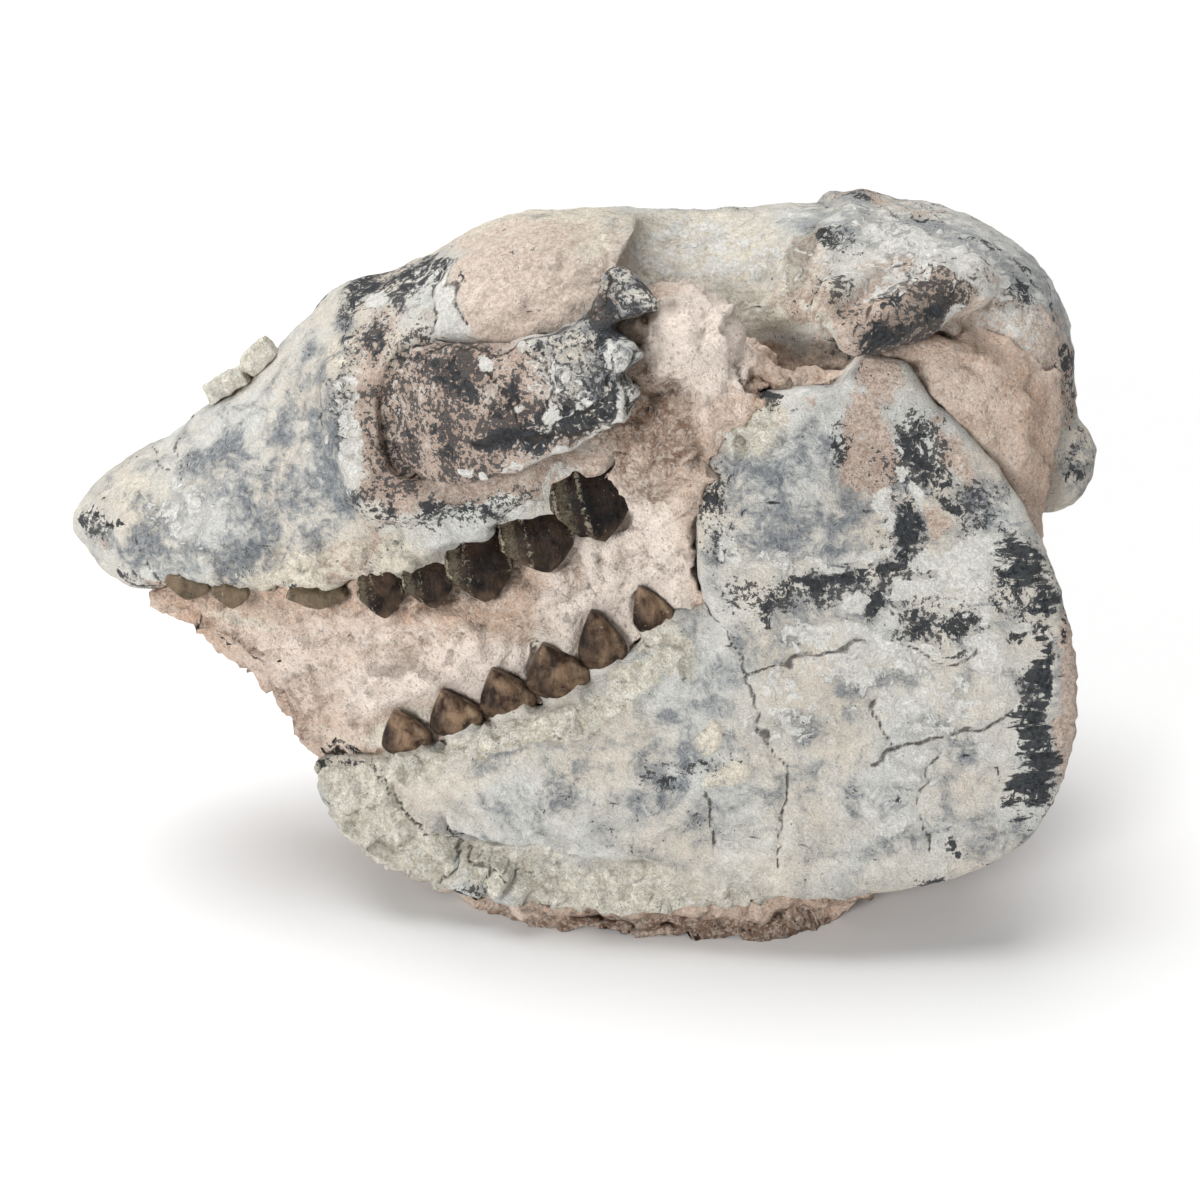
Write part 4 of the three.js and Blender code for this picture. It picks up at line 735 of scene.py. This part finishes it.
STONE_MARKS = {
    "pale": [
        (18, 52, 8, 10, -30, 0.9), (-13, 64, 17, 9, 5, 1), (-20, 60, 8, 8, 0, 1), (3, 10, 13, 18, 0, 0.9),
        (-30, -10, 22, 6, 8, 0.85), (-45, -6, 20, 7, 5, 0.6), (-70, 45, 9, 7, 40, 0.6),
        (20, 45, 6, 10, 0, 0.4),
    ],
    "cream": [
        (-68, 45, 9, 7, 40, 1), (7, 13, 7.3, 14.6, 0, 0.8), (0, 2, 11, 4.4, 20, 0.95),
        (-11, -6, 9.2, 3.7, 20, 0.9), (-24, -12, 9.3, 3, 20, 0.85), (-38, -21, 7.5, 2.6, 15, 0.8),
        (-52, -24, 3.8, 1.9, 0, 0.4), (11, 2, 4.8, 7.3, 0, 0.9), (-68, -1, 7.6, 1.5, -10, 0.6),
        (-30, -3, 11.1, 2.2, 5, 0.4), (-72, 42, 5.9, 5.9, 40, 1), (7, 30, 3.6, 4.7, 0, 0.5),
        (-2, 10, 5.5, 3.7, 0, 0.5),
    ],
    # painted shadow under the temple rod and below the upper teeth, among darker patches of the sand
    "painted_shadow_and_dark_sand": [
        (44, 40, 10, 2.5, -5, 1), (53, 45, 5, 2, 35, 1), (36, 42, 6, 2, 0, 0.8), (7, 37, 9, 13, 0, 0.82),
        (-66, -20, 15, 10, 35, 0.55), (-25, 8, 16, 2, 22, 0.75), (-6, 20, 8, 2.5, 40, 0.7),
        (10, -62, 44, 5, 0, 0.9), (-26, 5, 18, 1.6, 8, 0.7), (-68, -5, 6.5, 1.3, -25, 0.8),
        (-75, -2, 2.3, 0.8, -10, 0.7), (-63, -7, 2.7, 0.9, -20, 0.8), (7, 4, 1.5, 2.9, 0, 0.3),
        (9, 13, 1.8, 2.6, 0, 0.4), (14, 35, 3.6, 7.3, 0, 0.55), (2, 35, 3.6, 3.6, 0, 0.5),
        (18, 21, 1.8, 10.9, 0, 0.45), (-18, 7, 5.5, 1.1, 10, 0.4), (-33, 2, 5.6, 0.9, 8, 0.5),
        (-50, 1, 5.6, 0.9, 0, 0.6), (-81, -6, 5.8, 1.9, -40, 0.4), (-78, -16, 3.9, 3.1, -40, 0.35),
        (-54, -25, 5, 1.2, 0, 0.5), (-7, -2, 1.8, 1.5, 0, 0.3), (-25, -56, 11.4, 3.8, 0, 0.4),
        (39, 50, 9.1, 2.5, -10, 0.9), (11, 60, 5.5, 3.6, 0, 0.3), (60, 35, 11.1, 9.2, 0, 0.35),
        (4, -60, 18.9, 3, 0, 0.5),
    ],
    "dark_spots_and_painted_shadow": [
        (-50, -25, 5, 0.5, 0, 0.9), (-61, -8, 0.9, 0.4, -20, 0.9), (-48, -16, 1, 0.4, -30, 0.4),
        (-25, -55, 2.7, 1, -40, 0.8), (-27, -6, 0.6, 0.4, 0, 0.4), (18, 28, 0.5, 5.4, 0, 0.6),
        (9, 40, 1.5, 0.7, 0, 0.5), (0, 16, 1.1, 0.5, 0, 0.5), (7, 43, 1.1, 0.7, 0, 0.5),
    ],
}
STONE_CRACKS = [
    [(-55, -27), (-51, -26), (-44, -27)], [(-75, -4), (-70, -6), (-64, -9)], [(-81, -4), (-77, -4)],
]
NEAR_TEETH = [
    (-1, 25, 10, 9, 13, 1), (-12, 16, 8, 7, 14, 1), (-26, 10, 10, 6, 10, 1), (5, 1, 7, 5, 18, 1),
    (-20, -14, 20, 5, 18, 1),
]
LEDGE = [(-31, -35), (-28, -38), (-22, -41), (-15, -41), (-6, -42), (4, -43), (11, -45)]
CHIN_BREAK = [(-44, -27), (-39, -35), (-32, -41), (-27, -46), (-22, -49), (-21, -57)]
TEMPLE_FOLD = [(44, 76), (42, 74), (37, 70), (34, 67), (32, 63)]
TEMPLE_FLARE = [(x + 6, z + 1) for x, z in TEMPLE_FOLD]
TEMPLE_ROD = [(45, 53), (54, 58.5), (66, 64)]
EYE_REAR = [(-3, 80), (5, 52)]
CHEEK_RAMP = [(-49, 48), (-47.5, 40), (-46, 32), (-43.5, 24), (-36, 22), (-25, 24.5), (-12, 29)]


def paint(piece, marks, cracks):
    """Paints a piece with its marks and cracks, and says how strong each is at its points."""
    placed, facing = points_of(piece)
    spots = seen(placed)
    layers = {name: patches(spots, ovals) for name, ovals in marks.items()}
    layers["crack"] = lines(spots, *cracks)
    set_paint(piece, **layers)
    return placed, facing, spots, layers


# ---- the skull, with the stone that fills its eye sockets in the same skin

HEAD_NODES = ["snout", "forehead", "braincase", "occiput"] + [
    f"{part}_{side}"
    for part in ("temple_process", "nape_condyle", "eye_socket_stone")
    for side in ("left", "right")
]
head = cast_of("head", HEAD_NODES, FINE + 0.15, 12)
placed, facing = points_of(head)
# the step behind the eye, where two solids meet, is ironed out
seam = head.vertex_groups.new(name="seam")
nearby = bell(line_distance(placed[:, [0, 2]], EYE_REAR), 9)
for share in (0.25, 0.5, 0.75, 1.0):
    band = np.flatnonzero((nearby > share - 0.25) & (nearby <= share))
    seam.add(band.tolist(), share, "REPLACE")
finish_modifier(head, "SMOOTH", factor=0.8, iterations=120, vertex_group="seam")
placed, facing, spots, layers = paint(head, HEAD_MARKS, HEAD_CRACKS)
swell = 0.4 * rough(placed, 7, 3) + 0.25 * rough(placed, 2.6, 9)
swell += 0.5 * rough(placed, 4, 15) * layers["blush"]
swell += (0.3 * rough(placed, 3, 57) + 0.7 * chips(placed, 6, 59)) * layers["fill"]
gum = patches(spots, [(-50, 11, 20, 6, 6, 1), (-70, 7, 14, 4, 4, 0.8)])
swell += gum * (1.1 * chips(placed, 6, 51) + 0.6 * (0.5 - 1.6 * np.abs(lumps(placed, 2.2, 53))))
# the crown's wall folds in behind the forehead and flares out again over the temple
swell -= bell(line_distance(spots, TEMPLE_FOLD), 1.6)
swell -= 1.6 * patches(spots, [(20, 66, 20, 9, 0, 1)])
swell += 1.6 * bell(line_distance(spots, TEMPLE_FLARE), 3.5)
swell -= 0.35 * bell(1 - layers["crack"], 0.3)
# a ramp leads up to the cheek plate in front and below
flank = rise(np.abs(facing[:, 1]), 0.3, 0.7) * rise(np.abs(placed[:, 1]), 18, 24)
swell += 3.4 * flank * bell(line_distance(spots, CHEEK_RAMP), 3.6)
# the broken rod of the temple stands out, with a furrow round it
rod = line_distance(spots, TEMPLE_ROD)
proud = rise(np.abs(placed[:, 1]), 26, 34)
swell += proud * (2.4 * bell(rod, 5, power=4) - 1.8 * bell(rod - 8, 2))
swell -= 1.2 * patches(spots, [(38, 48, 12, 5, -14, 1)])
put_points(head, placed + facing * swell[:, None])

# ---- the cheekbones, a plate each with a bar behind the eye

cheeks = {}
for side in ("left", "right"):
    cheek = cheeks[side] = cast_of(f"cheek_plate_{side}", [f"cheekbone_{side}"], FINE - 0.1, 3, 0.6)
    placed, facing, spots, layers = paint(cheek, CHEEK_MARKS, CHEEK_CRACKS)
    ahead, below = -spots[:, 0], -spots[:, 1]
    swell = 0.45 * rough(placed, 6, 33) + 0.3 * rough(placed, 2, 36) + 0.35 * layers["flake"]
    # the front and the lower edge sink into the skull
    swell -= 4.6 * rise(ahead, 26, 46) + 2.2 * rise(below, -36, -26) * rise(ahead, 20, 36)
    swell -= 0.4 * bell(1 - layers["crack"], 0.3)
    put_points(cheek, placed + facing * swell[:, None])

# ---- the lower jaw

jaws = {}
for side in ("left", "right"):
    jaw = jaws[side] = cast_of(f"lower_jaw_{side}", [f"jaw_body_{side}", f"jaw_ramus_{side}"], FINE, 10)
    placed, facing, spots, layers = paint(jaw, JAW_MARKS, JAW_CRACKS)
    across, up = spots[:, 0], spots[:, 1]
    outer = rise(np.abs(facing[:, 1]), 0.2, 0.6)
    swell = 0.35 * rough(placed, 9, 5) + 0.15 * rough(placed, 2.4, 11)
    # bare broken rock along the lower edge and round the teeth
    crags = 3.2 * chips(placed, 8, 16) + 1.4 * chips(placed, 3.5, 17)
    crags += 0.4 * (0.6 - 2 * np.abs(lumps(placed, 2.6, 19)))
    swell += crags * layers["rock"] * np.where(up < -28, 1, 0.7)
    swell += 0.8 * rise(patches(spots, [(20, -19, 2.4, 2.9, 0, 1), (23, -27, 4.2, 2, 8, 1)]), 0.45, 0.7)
    # the bone's skin ends in an overhanging ledge above the chin's bare rock
    below = np.interp(across, *zip(*LEDGE)) - up
    reach = rise(across, -32, -29) * (1 - rise(across, 2, 16))
    edge = rise(below, -0.3, 1.1) * (1 - rise(below, 6, 15)) * reach
    lip = bell(below + 1.6, 1.6) * reach
    crevice = bell(below - 1, 1.3) * reach
    swell += outer * (1.5 * lip - 3.4 * edge)
    # painted shadow: dark in the crevice under the ledge, faint over the rock below it, and in the hollows
    # between the crags
    hollows = layers["rock"] * rise(-crags, 0, 1.8)
    set_paint(jaw, shade=np.maximum(0.95 * crevice, 0.12 * edge + 0.32 * hollows))
    swell -= 0.5 * bell(1 - layers["crack"], 0.3)
    swell -= 0.8 * bell(line_distance(spots, CHIN_BREAK), 0.9)
    # the hind edge is drawn into fine level grooves
    swell += 0.3 * lumps(placed * (0.15, 1, 1), 1.3, 71) * rise(across, 78, 84)
    put_points(jaw, placed + facing * swell[:, None])

# ---- the stone between the bones, and the crumbs of it on the nose

STONE_NODES = ["stone_front", "stone_middle", "stone_rear"]
matrix_stone = cast_of("matrix_stone", STONE_NODES, FINE + 0.2, 8, 0.35)
placed, facing, spots, layers = paint(matrix_stone, STONE_MARKS, STONE_CRACKS)
swell = 0.8 * rough(placed, 9, 21) + 0.8 * (0.5 - np.abs(lumps(placed, 4, 25)))
swell += 0.45 * rough(placed, 1.9, 27) + 1.6 * chips(placed, 9, 91) + 0.8 * chips(placed, 4, 92)
swell += 2.6 * patches(spots, [(14, 56, 9, 7, 0, 1), (8, 50, 6, 5, 0, 0.8)])
# bedded ledges that run along the gape
gape = placed @ np.array([(-0.3, 0, 0.95), (0, 1, 0), (0.95, 0, 0.3)]).T * (1, 1, 0.35)
bedding = 0.5 - 1.5 * np.abs(lumps(gape, 6, 81))
swell += 1.6 * bedding * patches(spots, [(-35, -8, 40, 13, 10, 1)])
# smoother by the ramus and nape, and held back where the teeth stand
swell *= 1 - 0.6 * patches(spots, [(68, 40, 26, 24, 0, 1)])
near_teeth = patches(spots, NEAR_TEETH)
swell *= 1 - 0.6 * near_teeth
swell += patches(spots, [(5, 26, 5, 3.5, 0, 1)]) - 0.9 * near_teeth
swell -= 2.5 * rise(-spots[:, 1], 54, 60) * rise(np.abs(facing[:, 1]), 0.3, 0.7)
put_points(matrix_stone, placed + facing * 1.2 * swell[:, None])
# the lows of the stone are painted darker, as shadow
lows = np.maximum(layers["painted_shadow_and_dark_sand"], 0.55 * rise(-swell, 0, 1.8))
matrix_stone.data.attributes["painted_shadow_and_dark_sand"].data.foreach_set("value", np.clip(lows, 0, 1).astype(np.float32))

crumbs = cast_of("nose_crumbs", ["stone_crumb_front", "stone_crumb_back"], 0.35, 1, 0.1)
placed, facing = points_of(crumbs)
set_paint(crumbs, rock=np.full(len(placed), 0.75))
swell = 0.6 * (0.5 - np.abs(lumps(placed, 2.4, 43)))
put_points(crumbs, placed + facing * swell[:, None])

# ---- the teeth: crowns of enamel over the stubs that the jaws carry

# where each crown sits, from the front: x, z, width, height, tilt, cusps, how worn and brown it is
UPPER_TEETH = [
    (-78, 6.6, 8.4, 5.2, -8, 1, 0.55),
    (-69.6, 5.2, 6.8, 5.2, 0, 1, 0.6),
    (-53, 5.2, 11, 4.4, 2, 1, 0.6),
    (-40.8, 6.8, 8.4, 9.2, 6, 1, 0.15),
    (-31.9, 9, 9.2, 9.4, 10, 1, 0.1),
    (-22.4, 12, 12, 12, 8, 1, 0.05),
    (-11.6, 17.4, 13.4, 11.6, 14, 1, 0.05),
    (-1.8, 25.4, 14.6, 15, 13, 2, 0),
]
LOWER_TEETH = [
    (-36.6, -22, 9.2, 8.8, 14, 1, 0.85),
    (-27, -17.6, 9.8, 9, 16, 1, 0.8),
    (-17.2, -13.4, 10.2, 9.8, 16, 1, 0.7),
    (-7.6, -8.6, 11.6, 10.2, 14, 1, 0.65),
    (0.6, -3, 8.8, 11.4, 8, 1, 0.55),
    (9.8, 3.2, 7.4, 9.4, 18, 1, 0.7),
]
# how far out the gums lie along the skull: x and distance from its middle plane
UPPER_DEPTH = [
    (-86, 17.5), (-78, 20), (-68, 21.8), (-57, 24.6), (-45, 27.4), (-37, 28.8), (-27, 30.8), (-18, 32.4),
    (-8, 34.6), (8, 37),
]
LOWER_DEPTH = [(-36.6, 25), (-27, 27.5), (-17.2, 29.5), (-7.6, 31.5), (0.6, 32.6), (9.8, 33.4)]
# a crown's outline from root to tip: share of its height, share of its width
UPPER_SHAPE = [(0, 0.7), (0.3, 0.95), (0.62, 1), (0.85, 0.88), (0.96, 0.6), (1, 0.1)]
LOWER_SHAPE = [(0, 0.5), (0.2, 0.92), (0.4, 1), (0.6, 0.78), (0.8, 0.45), (0.93, 0.2), (1, 0.04)]
THICKEST_CROWN = 6.5
FRONT_TEETH_END = -50


def crown(x, z, width, height, tilt, cusps, worn, depth, side, lower):
    """One crown from a ball: drawn out from root to tip, ribbed outside, leaned and set in place."""
    bpy.ops.mesh.primitive_uv_sphere_add(segments=40, ring_count=24, radius=1, location=(0, 0, 0))
    tooth = bpy.context.object
    ball = np.empty(len(tooth.data.vertices) * 3)
    tooth.data.vertices.foreach_get("co", ball)
    ball = ball.reshape(-1, 3)
    level = (ball[:, 2] + 1) / 2
    reach = np.maximum(np.hypot(ball[:, 0], ball[:, 1]), 1e-6)
    along, out = ball[:, 0] / reach, ball[:, 1] / reach
    # its width at each level, and the place across it from -1 in front to 1 behind
    half = width * 0.53
    outline = np.interp(level, *zip(*(LOWER_SHAPE if lower else UPPER_SHAPE)))
    across = half * outline * np.sign(along) * np.abs(along) ** 0.75
    place = across / half
    # its outer face, with ribs from root to tip and a groove behind them on the lower ones
    thick = min(width * 0.6, THICKEST_CROWN) / 2
    ridges = [-0.3] if lower else [-0.85, -0.2, 0.95] if cusps == 2 else [-0.9, -0.3, 0.95]
    rib = np.max([bell(place - ridge, 0.11) for ridge in ridges], axis=0)
    face = np.abs(out) ** 0.6 * thick * (1 - 0.35 * level**2)
    proud = (0.5 if lower else 1.1) * rib * np.sqrt(np.abs(out))
    face += np.where(out > 0, proud, 0) * rise(level, 0, 0.3) * (1 - 0.5 * level)
    if lower:
        face -= np.where(out > 0, 0.8 * bell(place - 0.5, 0.14), 0)
    # the upper ones end in one or two cusps, the lower ones in a point that leans back
    if cusps == 2:
        cusp = np.maximum(0.75 - np.abs(place + 0.45) * 1.6, 1 - np.abs(place - 0.1) ** 1.2)
    else:
        cusp = 1 - np.abs(place - 0.15) ** 1.3
    notch = 0 if lower else 0.3 * rise(level, 0.3, 1) * (1 - cusp)
    rising = level * height * 1.1 * (1 - notch) - height * 0.5
    upward = rising if lower else -rising
    if lower:
        across = across - 0.13 * width * level**1.5
    lean = math.radians(-tilt)
    spots = np.empty_like(ball)
    spots[:, 0] = x + across * math.cos(lean) + upward * math.sin(lean)
    flare = 0.9 * level - 2.2 * (1 - rise(level, 0, 0.45))
    spots[:, 1] = side * (depth - thick + np.sign(out) * face + flare)
    spots[:, 2] = z - across * math.sin(lean) + upward * math.cos(lean)
    if (side < 0) != lower:
        tooth.data.flip_normals()
    put_points(tooth, spots)
    # the lower crowns turn olive towards the back and are painted near-black at the front, as shadow
    olive = 0.55 * rise(place, 0, 0.6) if lower else rise(-place, 0.1, 0.8) * (1 - 0.5 * rib)
    painted_front_shadow = 0.6 * rise(-place, 0.1, 0.5) if lower else 0
    set_paint(
        tooth,
        rib=(0.55 if lower else 0.9) * rib * rise(out, -0.2, 0.3) * (1 - 0.4 * worn),
        olive=np.maximum(olive, 0.9 if x < FRONT_TEETH_END else 0),
        worn=worn * (1 - painted_front_shadow) + 0.2 * rise(level, 0.75, 1),
    )
    return tooth


rows = []
for side_name, side in (("left", -1), ("right", 1)):
    for row_name, teeth, depths in (
        ("upper", UPPER_TEETH, UPPER_DEPTH),
        ("lower", LOWER_TEETH, LOWER_DEPTH),
    ):
        crowns = []
        for x, *shape in teeth:
            depth = float(np.interp(x, *zip(*depths)))
            crowns.append(crown(x, *shape, depth, side, row_name == "lower"))
        pick(*crowns)
        bpy.ops.object.join()
        row = bpy.context.object
        row.name = f"{row_name}_teeth_{side_name}"
        bpy.ops.object.shade_smooth()
        rows.append(row)

# ---- every piece gets its material, its body and the solids it stands for

ready(head, "bone", bone, *HEAD_NODES)
for side in ("left", "right"):
    ready(cheeks[side], "stained_bone", bone, f"cheekbone_{side}")
    ready(jaws[side], "bone", bone, f"jaw_body_{side}", f"jaw_ramus_{side}")
ready(matrix_stone, "sandstone", stone, *STONE_NODES)
ready(crumbs, "chalk", bone, "stone_crumb_front", "stone_crumb_back")
for row in rows:
    ready(row, "enamel", enamel)
